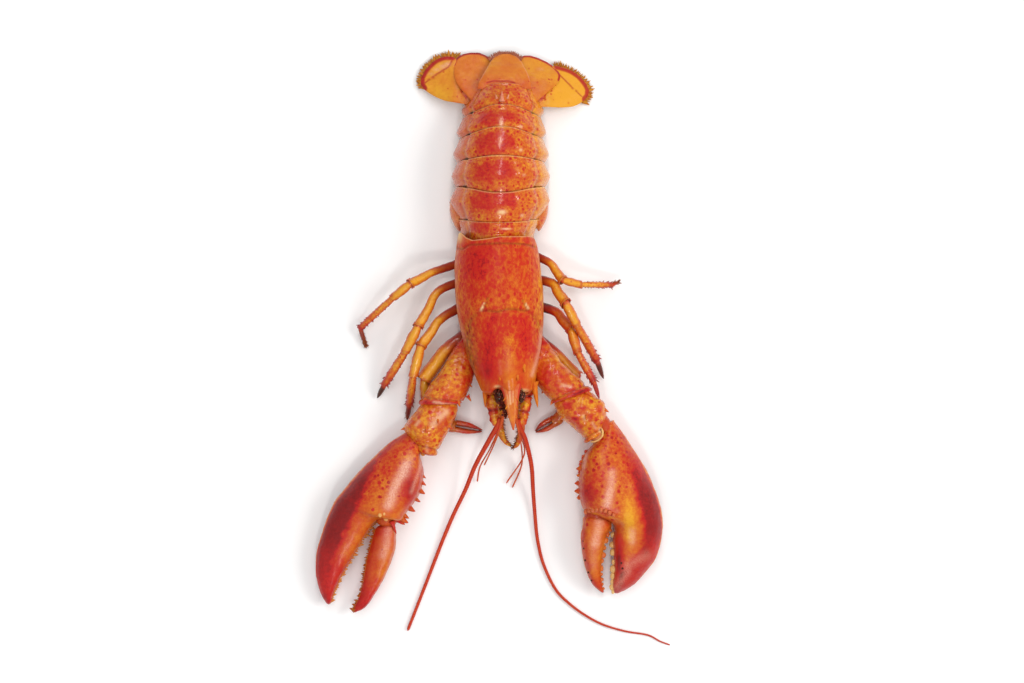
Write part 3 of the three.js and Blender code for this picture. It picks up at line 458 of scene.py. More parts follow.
# A material on the cooked shell group; stretch makes its pattern longer along the body, and
# what else is given goes to the group's socket of that name
def shellMaterial(name, stretch=1.0, bump=0.3, coat=0.1, coatRough=0.2, shine=0.3, **sockets):
    material = bpy.data.materials.new(name)
    material.use_nodes = True
    book = NodeBook(material.node_tree)
    shader = material.node_tree.nodes["Principled BSDF"]
    pattern = book.add("Group", {"node_tree": shellGroup})
    place = book.add("Mapping", None, Vector=book.add("TexCoord").outputs["Object"],
                     Scale=(1.0, 1.0 / stretch, 1.0))
    book.feed(place.outputs[0], pattern.inputs["Place"])
    for field in fieldNames:
        mask = book.add("Attribute", {"attribute_name": field})
        book.feed(mask.outputs["Fac"], pattern.inputs[field.capitalize()])
    for name, value in sockets.items():
        socket = "".join(" " + c if c.isupper() else c for c in name).title()
        pattern.inputs[socket].default_value = value
    relief = book.add("Bump", None, Strength=bump, Distance=0.0002, Height=pattern.outputs["Height"])
    book.feed(pattern.outputs["Color"], shader.inputs["Base Color"])
    book.feed(pattern.outputs["Roughness"], shader.inputs["Roughness"])
    book.feed(relief.outputs[0], shader.inputs["Normal"])
    shader.inputs["Specular IOR Level"].default_value = shine
    shader.inputs["Coat Weight"].default_value = coat
    shader.inputs["Coat Roughness"].default_value = coatRough
    return material


shellLooks = {
    "backShell": {"stretch": 1.5, "coat": 0.05, "gloss": 0.40, "shine": 0.14, "mottle": 0.10,
                  "mottleScale": 230.0, "speckScale": 430.0, "speckTone": 0.74},
    "tailShell": {"coat": 0.42, "coatRough": 0.12, "gloss": 0.27, "shine": 0.2, "mottle": 0.10,
                  "mottleScale": 260.0, "speckScale": 450.0, "speckTone": 0.75},
    "clawShell": {"bump": 0.45, "coat": 0.25, "coatRough": 0.28, "gloss": 0.36, "shine": 0.2,
                  "mottle": 0.085, "mottleScale": 230.0, "speckScale": 350.0, "speckTone": 0.80},
    "armShell": {"bump": 0.45, "coat": 0.45, "coatRough": 0.15, "gloss": 0.28, "shine": 0.2,
                 "mottle": 0.11, "mottleScale": 170.0, "speckScale": 320.0, "speckTone": 0.62},
    "legShell": {"coat": 0.6, "coatRough": 0.13, "gloss": 0.30, "mottle": 0.08,
                 "mottleScale": 240.0, "speckScale": 620.0, "speckTone": 0.6},
    "fanShell": {"coat": 0.15, "coatRough": 0.25, "gloss": 0.42, "mottle": 0.04,
                 "mottleScale": 200.0, "speckScale": 620.0, "speckTone": 0.5},
    "feelerShell": {"coat": 0.0, "gloss": 0.42, "mottle": 0.08, "mottleScale": 400.0,
                    "poreScale": 1600.0},
    "softSkin": {"bump": 0.5, "coat": 0.2, "mottle": 0.06, "mottleScale": 180.0},
    "bristleHair": {"bump": 0.1, "coat": 0.0, "gloss": 0.5, "mottle": 0.14, "mottleScale": 500.0},
    "eyeGloss": {"bump": 0.2, "coat": 0.5, "coatRough": 0.06, "gloss": 0.4, "shine": 0.08,
                 "mottleScale": 700.0},
}
shells = {name: shellMaterial(name, **look) for name, look in shellLooks.items()}
print("materials ready")


# Ribs straight across the body: y, x, z, half width, rise, drop
def acrossRibs(rows):
    return [[x, y, z, half, 0, 0, rise, drop, 0] for y, x, z, half, rise, drop in rows]


# Ribs between an outer and an inner edge: middle x, y, half vector x, y, level, rise, drop
def edgeRibs(rows):
    return [[x, y, z, sideX, sideY, 0, rise, drop, 0] for x, y, sideX, sideY, z, rise, drop in rows]


# Carapace with its grooves, rostrum and head spines

carapace = {
    "rows": [
        [60.0, 2.0, 21, 21.4, 19.5, 14.5],
        [55.0, 2.4, 21, 23.2, 21.5, 15.5],
        [43.0, 2.8, 21, 24.6, 23.6, 16.0],
        [30.0, 3.6, 21, 25.0, 24.2, 16.0],
        [17.0, 4.4, 21, 24.4, 23.8, 16.0],
        [4.0, 5.4, 21, 22.5, 23.4, 15.5],
        [-8.0, 6.2, 22, 19.9, 22.0, 15.5],
        [-18.0, 7.6, 23, 17.0, 19.6, 14.5],
        [-26.0, 9.2, 24, 14.4, 16.0, 12.5],
    ],
    "form": {"along": 230, "around": 160, "topPower": 2.15, "bottomPower": 2.1,
             "roundEnd": 0.07, "crowd": 0.15},
    # how far the rear edge reaches back beyond the first rib, from left to right: x, reach
    "rearEdge": [(-20, 3.2), (-18.2, 4.2), (-15.2, 1.2), (-11.5, -0.4), (-4.3, 0.3), (4.1, 1.7),
                 (12.5, 1.7), (20.9, 2.0), (24.5, 1.2)],
    # how far the front edge reaches forward beside the eye sockets: x, reach
    "frontEdge": [(-8, 1.8), (-5, 3.0), (-1, 3.0), (1.0, 1.0), (3.0, -0.8), (5.5, 0.0), (8, 1.5),
                  (12, 1.5),
                  (13.4, -0.4), (15.4, -0.4), (17.0, 1.6), (20.5, 2.4), (23, 1.2)],
    # each groove: its stops in plan, half width and depth
    "grooves": [
        ([(-6.5, 19.9), (-3.7, 20.1), (2.6, 19.4), (8.0, 20.9), (12.3, 20.9), (18.0, 20.0),
          (20.2, 20.4)], 0.7, 0.85),
        ([(-5.2, 20.6), (-3.7, 24.0), (-2.9, 27.0)], 0.55, 0.7),
        ([(18.8, 21.4), (17.4, 24.2), (16.6, 26.0)], 0.55, 0.7),
        ([(20.3, 20.0), (23.2, 16.2), (26.0, 12.6), (27.6, 8.0)], 1.4, 0.22),
        ([(-7.6, 19.2), (-12.0, 15.6), (-14.0, 10.0), (-14.6, 2.0), (-11, -12)], 1.4, 0.22),
        ([(-22.0, 55.4), (-17.0, 54.6), (-13.0, 57.0), (4.0, 57.8), (18.0, 57.4), (24.0, 56.0)],
         0.7, 0.5),
    ],
    # small raised folds beside the ends of the cross groove, painted bright as glints
    "glintFolds": [([(-6.4, 20.3), (-6.0, 21.4)], 0.65, 0.7), ([(-6.0, 21.4), (-4.9, 24.2)], 0.38, 0.8),
              ([(19.9, 21.3), (19.3, 22.3)], 0.6, 0.7), ([(19.3, 22.3), (18.5, 24.2)], 0.36, 0.8)],
    "tone": 0.50,
    "tonePatches": [
        (-9, 46, 10, 15, 0.25), (4, 52, 18, 6, 0.08), (14, 44, 7, 16, -0.05), (3.5, 42, 2.0, 18, -0.09),
        (-1.5, 0, 5.0, 15, 0.32), (-3.5, -15, 3.6, 6, 0.24), (18.6, 2, 4.4, 12, 0.22),
        (8, 15, 9, 3.6, 0.14),
        (7, 25, 24, 4.6, -0.12), (9.6, -5, 4.0, 14, -0.20), (-12.5, 2, 3.4, 14, -0.22),
        (-19.5, 36, 2.6, 26, -0.16), (26.5, 34, 3.0, 26, -0.14), (21.5, -14, 4.6, 8, -0.30),
        (-6, -21, 5, 6, -0.20), (10.0, -24, 4.4, 9, -0.24), (24, 15, 2.5, 9, -0.16),
        (-2, -16, 3.4, 4.5, 0.08), (16.5, -18, 3.0, 5, 0.12), (26.8, 30, 2.2, 22, -0.10),
        (5.2, -22, 1.0, 4.0, 0.16), (14.2, -22, 1.0, 4.0, 0.16),
    ],
    # cream skin at the rear left corner and over the eyes
    "corners": [(-19.0, 62, 2.2, 3.2, 0.7), (17.4, -24.6, 2.4, 1.0, 0.6), (2.6, -22.4, 1.6, 0.8, 0.6)],
    "flankMottle": [(-13, 4, 3.6, 13, 1.2), (-10.5, -10, 3.0, 6, 0.9), (24.5, 16, 2.0, 7, 0.5)],
    # painted highlights: pale sheen lines on the flanks, the front and the rostrum's base, standing for
    # reflections
    "streaks": [([(4.0, -8), (4.4, -15)], 1.0, 0.10), ([(8.4, -2), (9.0, -12)], 2.4, 0.10),
                ([(9.2, -19), (9.5, -25)], 0.35, 0.55), ([(11.0, -18), (11.2, -25)], 0.3, 0.35),
                ([(-20.6, 54), (-21.8, 30), (-19.0, 14), (-16.2, 4)], 1.5, 0.34),
                ([(27.8, 10), (26.4, -2), (24.0, -10), (22.0, -16)], 1.1, 0.70),
                ([(26.2, 52), (27.6, 38)], 0.8, 0.4), ([(-12.4, -8), (-9.6, -16)], 0.8, 0.3)],
}

rostrum = {
    "rows": [
        [-2.0, 7.4, 39.2, 7.0, 2.2, 5.0],
        [-12.0, 8.6, 38.9, 7.4, 2.4, 5.0],
        [-20.0, 9.7, 38.2, 7.2, 2.9, 4.6],
        [-25.0, 10.3, 38.6, 5.1, 2.8, 4.0],
        [-31.0, 10.6, 39.4, 3.8, 2.4, 3.2],
        [-38.0, 10.9, 40.2, 2.5, 1.9, 2.2],
        [-46.6, 11.6, 41.6, 0.4, 0.5, 0.6],
    ],
    "form": {"along": 80, "around": 44, "crowd": 0.0},
    # painted highlights: pale lines along the rostrum's top
    "glints": [([(9.5, -24), (10.0, -32)], 0.4, 1.0), ([(11.2, -25), (11.4, -31)], 0.3, 0.6),
               ([(8.3, -27), (8.9, -34)], 0.25, 0.4)],
}

# x measured outwards from the head's middle: root, tip, radius
headSpines = [
    ((1.6, -27.2, 39.8), (4.5, -30.6, 41.0), 0.75),
    ((1.2, -31.8, 40.0), (3.7, -35.2, 41.4), 0.75),
    ((0.8, -36.8, 40.2), (2.7, -40.2, 41.4), 0.7),
    ((8.8, -10, 38.5), (9.4, -14.6, 41.0), 1.2),
    ((4.8, -15, 39.8), (5.0, -19.2, 42.6), 1.1),
    ((13.6, -20, 27), (14.8, -34.4, 28), 2.0),
    ((12.8, -3, 35.3), (13.4, -6.5, 37.0), 0.9),
    ((11.6, -20, 32.6), (12.0, -24.2, 33.6), 1.0),
]


# The head bends a little to the animal's left
def headMiddle(y):
    return 8.0 - 0.09 * (y + 6)


# The deepest groove at each point; shares change the grooves' width and depth up to a limit
def grooveDepth(x, y, widthShare, depthShare, limit):
    deepest = np.zeros(x.shape)
    for stops, width, depth in carapace["grooves"]:
        line = bell(lineDistance(x, y, stops), width * widthShare)
        deepest = np.maximum(deepest, min(limit, depth * depthShare) * line)
    return deepest


# The back plate: a shell through its rows, its two edges moved along y, less its grooves, plus
# folds, a keel, a rim and lumps, with a mouth at the rear
def makeCarapace():
    grid, t, angle = shellGrid(acrossRibs(carapace["rows"]), carapace["form"])
    edgeX, edgeReach = zip(*carapace["rearEdge"])
    reach = np.interp(grid[..., 0], edgeX, edgeReach) * smooth(grid[..., 1], 51, 60)
    grid[..., 1] += reach * smooth(np.sin(angle), -0.4, 0.2)
    edgeX, edgeReach = zip(*carapace["frontEdge"])
    forward = np.interp(grid[..., 0], edgeX, edgeReach) * smooth(-grid[..., 1], 14, 23)
    grid[..., 1] -= forward * smooth(np.sin(angle), -0.2, 0.3)
    x, y, up = grid[..., 0], grid[..., 1], np.sin(angle)
    top = smooth(up, -0.1, 0.25)
    cut = grooveDepth(x, y, 1.0, 1.0, 9.0)
    foldGlint = streaks(x, y, carapace["glintFolds"])
    middle = bell(x - headMiddle(y), 4.0) * smooth(-y, 10, 24)
    keel = 0.3 * bell(x - headMiddle(y), 1.5) * smooth(-y, -4, 8)
    rim = 0.25 * bell(y - reach - 59.0, 0.8)
    lumps = 0.14 * waves(grid, 14, 3) + 0.06 * waves(grid, 3.2, 4)
    grid = raised(grid, top * (rim - cut + 0.45 * foldGlint + 0.8 * middle + keel) + lumps - 0.2)
    grid, t, angle = withMouth(grid, t, angle, 0.9, 3.0, atEnd=False)
    x, y, up = grid[..., 0], grid[..., 1], np.sin(angle)
    top = smooth(up, -0.1, 0.25)
    inside = t < 0
    beside = np.abs(np.cos(angle))
    edge = smooth(t, 0.022, 0.004) * top
    line = grooveDepth(x, y, 0.8, 2.0, 1.0)
    foldGlint = streaks(x, y, carapace["glintFolds"])
    corner = patches(x, y, carapace["corners"])
    flank = patches(x, y, carapace["flankMottle"]) * (0.5 + 0.5 * waves(grid, 4, 9))
    tone = carapace["tone"] + patches(x, y, carapace["tonePatches"])
    # painted light: shade darkens the groove lines and the inside of the mouth, and the rear rim is paler
    # with a painted sheen
    shell = closeGrid(
        grid,
        tone=tone - 0.10 * smooth(beside, 0.8, 1.0) - 0.25 * edge - 0.1 * line,
        speck=0.85 * top * (1 - smooth(-y, 0, 12)),
        bloom=np.clip(streaks(x, y, carapace["streaks"]) + 0.35 * edge + 0.2 * foldGlint, 0, 1) * top,
        stain=np.clip(0.5 * flank + 0.42 * line * top + 0.8 * inside, 0, 1),
        cream=np.clip(0.15 * edge + 0.85 * foldGlint + corner, 0, 0.9) * top * ~inside)
    return [shell, makeRostrum(), makeHeadSpines(), *makeOrbits()]


# The rostrum: a shell with two ridges, a gutter between them and fine lines along it
def makeRostrum():
    grid, t, angle = shellGrid(acrossRibs(rostrum["rows"]), rostrum["form"])
    across, up = np.cos(angle), np.sin(angle)
    ridges = bell(np.abs(across) - 0.6, 0.16) * smooth(up, 0, 0.3) * smooth(t, 0.3, 0.55)
    gutter = bell(across, 0.2) * smooth(up, 0.5, 0.9) * smooth(t, 0.5, 0.7)
    grid = raised(grid, (0.5 * ridges - 0.35 * gutter) * (1 - t) + 0.05 * waves(grid, 4, 7))
    lines = 0.5 + 0.5 * np.cos(across * 22 + 0.8 * waves(grid, 8, 17))
    # painted highlights along the ridges and the glint lines, also in cream
    glint = streaks(grid[..., 0], grid[..., 1], rostrum["glints"]) * smooth(up, 0, 0.3)
    tone = 0.32 - 0.12 * smooth(t, 0.48, 0.75) + 0.22 * (lines - 0.2) * smooth(t, 0.15, 0.5)
    tone = tone + 0.26 * smooth(np.abs(across), 0.55, 0.95) * smooth(t, 0.9, 0.6)
    return closeGrid(grid, tone=tone - 0.08 * ridges + 0.25 * smooth(t, 0.88, 1), speck=0.02,
                     bloom=np.clip(0.04 + 0.16 * ridges + 0.6 * glint, 0, 1), cream=0.5 * glint)


# The same spines on both sides of the head's middle
def makeHeadSpines():
    roots, tips, radii = [], [], []
    for hand in (-1, 1):
        for root, tip, radius in headSpines:
            roots.append([headMiddle(root[1]) + hand * root[0], *root[1:]])
            tips.append([headMiddle(tip[1]) + hand * tip[0], *tip[1:]])
            radii.append(radius)
    return horns(roots, tips, radii, bends=[0, 0, 0.5], rings=9, around=12, tone=0.24)


# Skin round the eye stalks: small pale knobs on an arc over each, and a trail of dark ones
# between the right eye and the rostrum
eyeSkin = {"wrinkles": 26, "arc": (-0.4, 3.5), "reach": (3.6, 3.2), "stalk": 6.4,
           "trail": [0.0, 0.25, 0.45, 0.55, 0.65, 0.75, 0.85, 1.0]}


def makeOrbits():
    draw = np.random.default_rng(12)
    centres, sizes = [], []
    count = eyeSkin["wrinkles"]
    bearing = np.linspace(*eyeSkin["arc"], count)
    reachX, reachY = eyeSkin["reach"]
    for hand in (-1, 1):
        x = headMiddle(-27) + hand * (eyeSkin["stalk"] + reachX * np.cos(bearing))
        level = 33.4 + draw.uniform(-1, 1.6, count)
        centres.append(np.stack([x, -24.6 + reachY * np.sin(bearing), level], -1))
        sizes.append(draw.uniform(0.5, 1.0, (count, 3)))
    s = np.repeat(eyeSkin["trail"], 8)
    trail = np.stack([1.4 + 6.4 * s, -24.6 - 13.6 * s, 35.0 - 1.6 * s], -1)
    trail += draw.normal(0, 0.8, (len(s), 3))
    dark = knobs(trail, [0, 0, 1], draw.uniform(0.5, 1.1, (len(s), 3)), rings=6, around=8,
                 tone=0.9, stain=0.8)
    pale = knobs(np.concatenate(centres), [0, 0, 1], np.concatenate(sizes), rings=6, around=8,
                 tone=0.35, stain=0.5)
    return [pale, dark]


addPiece("backPlate", makeCarapace(), "backShell", "shell_red", "carapace")
print("back plate ready")


# Tail rings. A border is the middle x, y at the sides, y on top, top level, half width.

tail = {
    "borders": [
        [2.2, 60.6, 60.6, 38.4, 20.8],
        [3.4, 71.6, 68.4, 39.4, 23.4],
        [4.3, 89.6, 87.2, 40.2, 25.6],
        [4.6, 103.4, 106.0, 40.0, 24.8],
        [4.8, 117.6, 122.4, 36.2, 23.4],
        [5.2, 129.6, 135.4, 29.0, 22.0],
        [6.6, 144.0, 148.8, 19.6, 16.6],
    ],
    # how far each border is swept to the tail in the middle and at the hinges
    "sweep": [(0, 0), (0, 0), (-2.0, 0.5), (0, -0.8), (0, -2.4), (0, -2.6), (0, 0)],
    "lobes": [21.4, 28.2, 28.1, 27.1, 25.3, 22.4],
    "peaks": [0.5, 0.62, 0.5, 0.38, 0.3, 0.3],     # where along a ring its side lobe is widest
    "wideLevel": 9.0,
    "hollow": 6.0,
    "step": 1.1,
    "lip": 0.5,
    "bulge": 0.9,
    "overhang": 1.2,
    "hinge": 0.77,                                 # where the side lobe meets the back, across
    "form": {"along": 64, "around": 156, "topPower": 2.05, "bottomPower": 3, "crowd": 0.2},
    "tone": [0.31, 0.32, 0.32, 0.31, 0.32, 0.31],
    "redTone": 0.35,
    # spines on the last ring: root, tip, radius
    "spines": [((5.2, 138.0, 27.0), (5.2, 143.6, 28.2), 1.3),
               ((2.4, 139.4, 26.2), (1.6, 142.2, 26.4), 0.7),
               ((8.2, 139.4, 26.2), (9.2, 142.2, 26.4), 0.7)],
    # painted glints: small highlights in plan
    "glints": [(5.2, 75.1, 1.9, 1.1, 1.1), (7.6, 65.8, 2.4, 0.5, 0.8), (4.6, 125.4, 0.9, 2.6, 0.5),
               (4.1, 115.4, 0.9, 3.0, 0.3), (15.8, 123.4, 0.8, 0.9, 0.7), (15.8, 110.0, 0.7, 0.9, 0.7),
               (16.4, 73.4, 0.8, 0.8, 0.7), (17.6, 96.0, 0.6, 0.7, 0.5)],
    # for each ring: ragged patches of red over its back, in plan
    "red": [
        [(-7, 66.5, 8, 4.5, 0.80), (7, 65, 7, 3.5, 0.50)],
        [(-5.5, 81, 8.5, 8, 1.0), (7, 83, 7.5, 6, 0.80), (13, 80, 4, 5, 0.3)],
        [(-5, 97, 8, 7.5, 1.0), (6, 99, 7, 6, 0.80), (12, 96, 4, 5, 0.3)],
        [(-3.5, 113.5, 7.5, 7.5, 1.0), (6, 115, 6, 7, 0.75), (11, 113, 4, 5, 0.4)],
        [(-2, 128, 7.5, 5.5, 0.95), (10, 129, 5.5, 4.5, 0.70)],
        [(-4, 139, 7, 3.5, 0.35), (10, 142, 6, 3, 0.20)],
    ],
}


# Fifteen ribs between two borders: each line between them, plus the bulge of the back, the
# step under the ring before, and the side lobe
def tailRingRibs(k):
    front, rear = np.array(tail["borders"][k]), np.array(tail["borders"][k + 1])
    peak = tail["peaks"][k]
    ribs = []
    for s in np.linspace(0, 1, 15):
        x, sideY, topY, top, half = front + (rear - front) * s
        sideY, topY = sideY + (0.5 - s) * clearance, topY + (0.5 - s) * clearance
        lobe = 1 - (abs(s - peak) / (peak if s < peak else 1 - peak)) ** 1.2
        half += (tail["lobes"][k] - (front[4] + rear[4]) / 2) * lobe
        lip = -tail["step"] * (1 - s * 2) ** 2 if s < 0.5 else tail["lip"] * (s * 2 - 1) ** 2
        level = tail["wideLevel"] - (2 * s if k == 5 else 0)
        top += tail["bulge"] * math.sin(math.pi * s) + lip
        lean = math.degrees(math.atan2(topY - sideY, top - level))
        rise = math.hypot(top - level, topY - sideY)
        ribs.append([x, sideY, level, half + lip * 0.6, 0, 0, rise, level - 0.6, lean])
    return ribs


# A tail ring: a shell through its ribs, swept back in the middle, less its hinge lines and
# the line before its lip, with a mouth at the rear
def makeTailRing(k):
    grid, t, angle = shellGrid(tailRingRibs(k), dict(tail["form"], hollow=tail["hollow"]))
    up, across = np.sin(angle), np.cos(angle)
    top = smooth(up, 0.0, 0.25)
    overhang = smooth(t, 0.80, 1.0) * smooth(up, 0.0, 0.35) * (tail["overhang"] if k < 5 else 0.2)
    share = smooth(np.abs(across), 0.1, 0.85)
    swept = [middle + (side - middle) * share for middle, side in tail["sweep"][k:k + 2]]
    grid[..., 1] += overhang + (swept[0] * (1 - t) + swept[1] * t) * smooth(up, 0.0, 0.35)
    if k == 0:                                     # the first ring starts inside the back plate
        grid[..., 1] -= 3.5 * smooth(t, 0.3, 0.0)
    grid[..., 2] += smooth(-up, 0.1, 0.6) * np.abs(2 * t - 1) ** 2.5 * 3.5
    hinge = bell(np.abs(across) - tail["hinge"], 0.035) * smooth(up, 0.1, 0.3)
    beyond = smooth(np.abs(across), tail["hinge"], tail["hinge"] + 0.06) * smooth(up, 0.0, 0.25)
    lumps = 0.10 * waves(grid, 9, 20 + k) + 0.05 * waves(grid, 2.6, 30 + k)
    lipLine = bell(t - 0.93, 0.02) * top
    relief = lumps - 0.7 * hinge - 0.35 * beyond * smooth(t, 0.3, 0.0) - 0.3 * lipLine - 0.1
    relief -= 0.5 * smooth(t, 0.98, 1.0) * top
    grid = raised(grid, relief)
    x = grid[..., 0]
    if k == 5:
        grid = raised(grid, 0.8 * bell(x - 5.6, 1.3) * bell(grid[..., 1] - 139.5, 3.0) * top)
    grid, t, angle = withMouth(grid, t, angle, 1.0, 2.0)
    x, y, up, across = grid[..., 0], grid[..., 1], np.sin(angle), np.cos(angle)
    inside = t > 1.5
    top = smooth(up, 0.0, 0.25) * ~inside
    under = smooth(-up, 0.0, 0.3)
    right = x - tail["borders"][k][0]
    hinge = bell(np.abs(across) - tail["hinge"], 0.03) * smooth(up, 0.1, 0.3)
    lobe = smooth(np.abs(across), tail["hinge"] - 0.03, tail["hinge"] + 0.08)
    onLeft = smooth(-across, 0.3, 0.6)
    lipEdge = smooth(t, 0.955, 0.985) * top
    # painted shade: a dark line in the tuck under the ring before, dark notches between the side lobes,
    # stronger on the left, a dark hinge line on the front half, and the inside of the mouth
    tuck = bell(t - 0.055, 0.022) * top * (k > 0)
    notch = bell(np.abs(across) - 0.80, 0.05) * bell(t - 0.07, 0.05) * top * (1 if k else 0.3)
    ragged = patches(x, y, tail["red"][k]) + 0.14 * waves(grid, 7, 90 + k)
    tone = tail["tone"][k] + tail["redTone"] * smooth(ragged, 0.25, 0.85) * top * (1 - lobe)
    # painted light and shade: lighter towards the right, the left lobes darker and redder than the right
    # ones, and the lip's edge paler with a painted sheen
    tone = tone - 0.07 * smooth(right, 10, 20) + (0.19 * onLeft - 0.11) * lobe - 0.12 * lipEdge
    # a painted highlight band on the left lobes beside the hinge line, and a faint painted sheen along the
    # hinge
    leftSheenBand = bell(np.abs(across) - tail["hinge"] - 0.05, 0.035) * onLeft * smooth(up, 0.1, 0.3)
    # painted glints: pale and cream spots where the lamps would shine
    glint = patches(x, y, tail["glints"]) * top
    shell = closeGrid(
        grid,
        tone=np.where(under > 0.5, 0.15, tone),
        speck=np.clip(0.95 * top * (1 - lobe) * (1 - under), 0, 1),
        bloom=np.clip(glint + 0.12 * leftSheenBand + 0.2 * lipEdge
                      + 0.5 * under + 0.10 * hinge, 0, 1),
        stain=np.clip(0.55 * tuck + 0.75 * notch * (0.3 + 0.7 * onLeft) + 0.7 * inside
                      + 0.2 * hinge * (t < 0.5), 0, 1),
        cream=np.clip(0.2 * lipEdge + 0.55 * glint, 0, 1))
    made = [shell]
    if k == 1:
        made += makeRingFlaps()
    if 1 <= k <= 4:
        made += makeSwimmerets(k)
    if k == 5:
        roots, tips, radii = zip(*tail["spines"])
        # the spines carry a painted glint
        made.append(horns(roots, tips, radii, tone=0.4, bloom=0.5))
    return made


# The second ring's side lobes reach forward over the first and thin to a point
def makeRingFlaps():
    x = tail["borders"][1][0]
    made = []
    for hand in (-1, 1):
        stations = [[x + hand * 23.4, 82, 10, 4.6, 7.4], [x + hand * 23.4, 76, 9.4, 4.4, 7.0],
                    [x + hand * 22.8, 71, 9, 3.4, 6.2], [x + hand * 22.6, 65.4, 7.5, 1.2, 3.0]]
        form = {"along": 30, "around": 28, "roundStart": 0, "roundEnd": 0.3}
        grid, _, _ = limbGrid(stations, form)
        grid = raised(grid, 0.08 * waves(grid, 4, 18))
        # the left flap carries more painted sheen than the right
        made.append(closeGrid(grid, tone=0.30, bloom=0.28 if hand < 0 else 0.12, speck=0.3))
    return made


# Two paddles on each side under a ring, folded towards the head
def makeSwimmerets(k):
    x, y = tail["borders"][k][:2]
    rootY = y + 9
    made = []
    for hand in (-1, 1):
        for outward, reach in ((0.0, 1.0), (3.4, 0.86)):
            stations = [[x + hand * (8 + outward * 0.4), rootY, 8, 1.5, 1.3],
                        [x + hand * (12 + outward), rootY - 3 * reach, 4.6, 2.3, 1.0],
                        [x + hand * (15 + outward), rootY - 8 * reach, 2.6, 2.9, 0.8],
                        [x + hand * (16 + outward), rootY - 13 * reach, 1.8, 1.3, 0.5]]
            form = {"along": 20, "around": 14, "roundStart": 0, "roundEnd": 0.3}
            grid, t, _ = limbGrid(stations, form)
            made.append(closeGrid(grid, tone=0.1 + 0.3 * t, bloom=0.2))
    return made


for k in range(6):
    addPiece(f"tailRing{k + 1}", makeTailRing(k), "tailShell", "shell_red", f"tail_ring_{k + 1}")
print("tail rings ready")


# Telson and tail fan: thin plates, each row the middle x, y, z and the half vector across

fanLook = {"thickness": 2.3, "edgeThickness": 0.9, "rimTone": 0.66, "striation": 0.04,
           "rimWidth": {"outer": 2.7, "inner": 1.4},
           # painted highlights on the plates, as patches in plan
           "glow": [(-25.6, 160.6, 1.8, 1.2, 0.6), (-28.4, 159.2, 2.2, 1.2, 0.6),
                    (-31.8, 157.4, 2.2, 1.0, 0.45), (-35.0, 155.0, 1.8, 1.0, 0.3),
                    (27.0, 157.5, 2.0, 1.0, 0.25)],
           "form": {"along": 100, "around": 180, "topPower": 3.2, "bottomPower": 3.2, "crowd": 0.2}}
# rim: the place t along each side where the red rim starts; the telson has none
fanPlates = {
    "telson": {
        "rows": [[6.6, 145.6, 16.8, 15.4, 0, 0], [6.8, 149.6, 16.6, 14.6, 0, 0],
                 [7.2, 154.0, 14.2, 12.8, 0, 0], [7.4, 158.6, 11.0, 10.4, 0, 0],
                 [7.4, 162.0, 8.2, 8.6, 0, 0], [7.3, 164.6, 6.4, 6.0, 0, 0],
                 [7.2, 166.2, 5.6, 2.4, 0, 0]],
        "tone": 0.20, "suture": [(-3.2, 149.2), (1.0, 150.2), (4.6, 149.8), (8.6, 150.2), (12.3, 148.8)],
        "rim": (9, 9),
    },
    "fan_inner_right": {
        "rows": [[-8.6, 142.0, 14.0, 2.6, 4.0, -2.0], [-11.0, 150.4, 11.0, 9.4, 1.4, -0.4],
                 [-10.9, 157.2, 7.8, 11.4, -0.2, 0], [-10.6, 162.2, 5.2, 10.8, -0.8, 0],
                 [-10.6, 165.6, 3.4, 7.2, -0.4, 0], [-10.6, 167.2, 2.6, 2.8, 0, 0]],
        "tone": 0.22, "suture": None, "rim": (0.5, 0.5),
    },
    "fan_inner_left": {
        "rows": [[21.6, 142.0, 14.0, -2.6, 4.0, -2.0], [26.2, 150.0, 11.0, -9.4, 1.6, 0],
                 [26.6, 155.6, 8.0, -11.6, 2.2, 0], [25.6, 160.2, 5.4, -10.6, 2.6, 0],
                 [24.4, 163.3, 3.8, -7.2, 2.0, 0], [23.6, 164.8, 3.0, -2.6, 0.8, 0]],
        "tone": 0.11, "suture": None, "rim": (0.5, 0.3),
    },
    "fan_outer_right": {
        "rows": [[-11.0, 141.0, 10.4, 1.6, 4.2, -1.8], [-20.5, 150.2, 8.8, 0.8, 12.0, -3.4],
                 [-26.5, 152.2, 6.8, 0.6, 12.8, -2.8], [-33.0, 152.6, 5.0, 0.4, 10.4, -1.6],
                 [-38.2, 151.8, 3.8, 0.2, 6.2, -0.8], [-41.0, 150.8, 3.0, 0, 2.0, 0]],
        "tone": 0.08, "suture": [(-38.6, 150.0), (-31.7, 155.0), (-25.4, 158.8), (-23.6, 162.0)],
        "rim": (0.3, 0.86),
    },
    "fan_outer_left": {
        "rows": [[23.0, 140.0, 10.4, -1.6, 4.2, -1.8], [32.6, 147.0, 8.8, -0.6, 11.4, -3.4],
                 [40.0, 147.0, 6.8, 0.6, 11.4, -2.8], [47.0, 145.8, 5.0, 0.8, 9.2, -1.6],
                 [52.0, 144.8, 3.8, 0.6, 5.2, -0.8], [54.4, 144.4, 3.0, 0.2, 1.8, 0]],
        "tone": -0.05, "suture": [(34.4, 157.6), (40.9, 151.4), (45.6, 146.6), (50.4, 142.2)],
        "rim": (0.3, 0.86),
    },
}


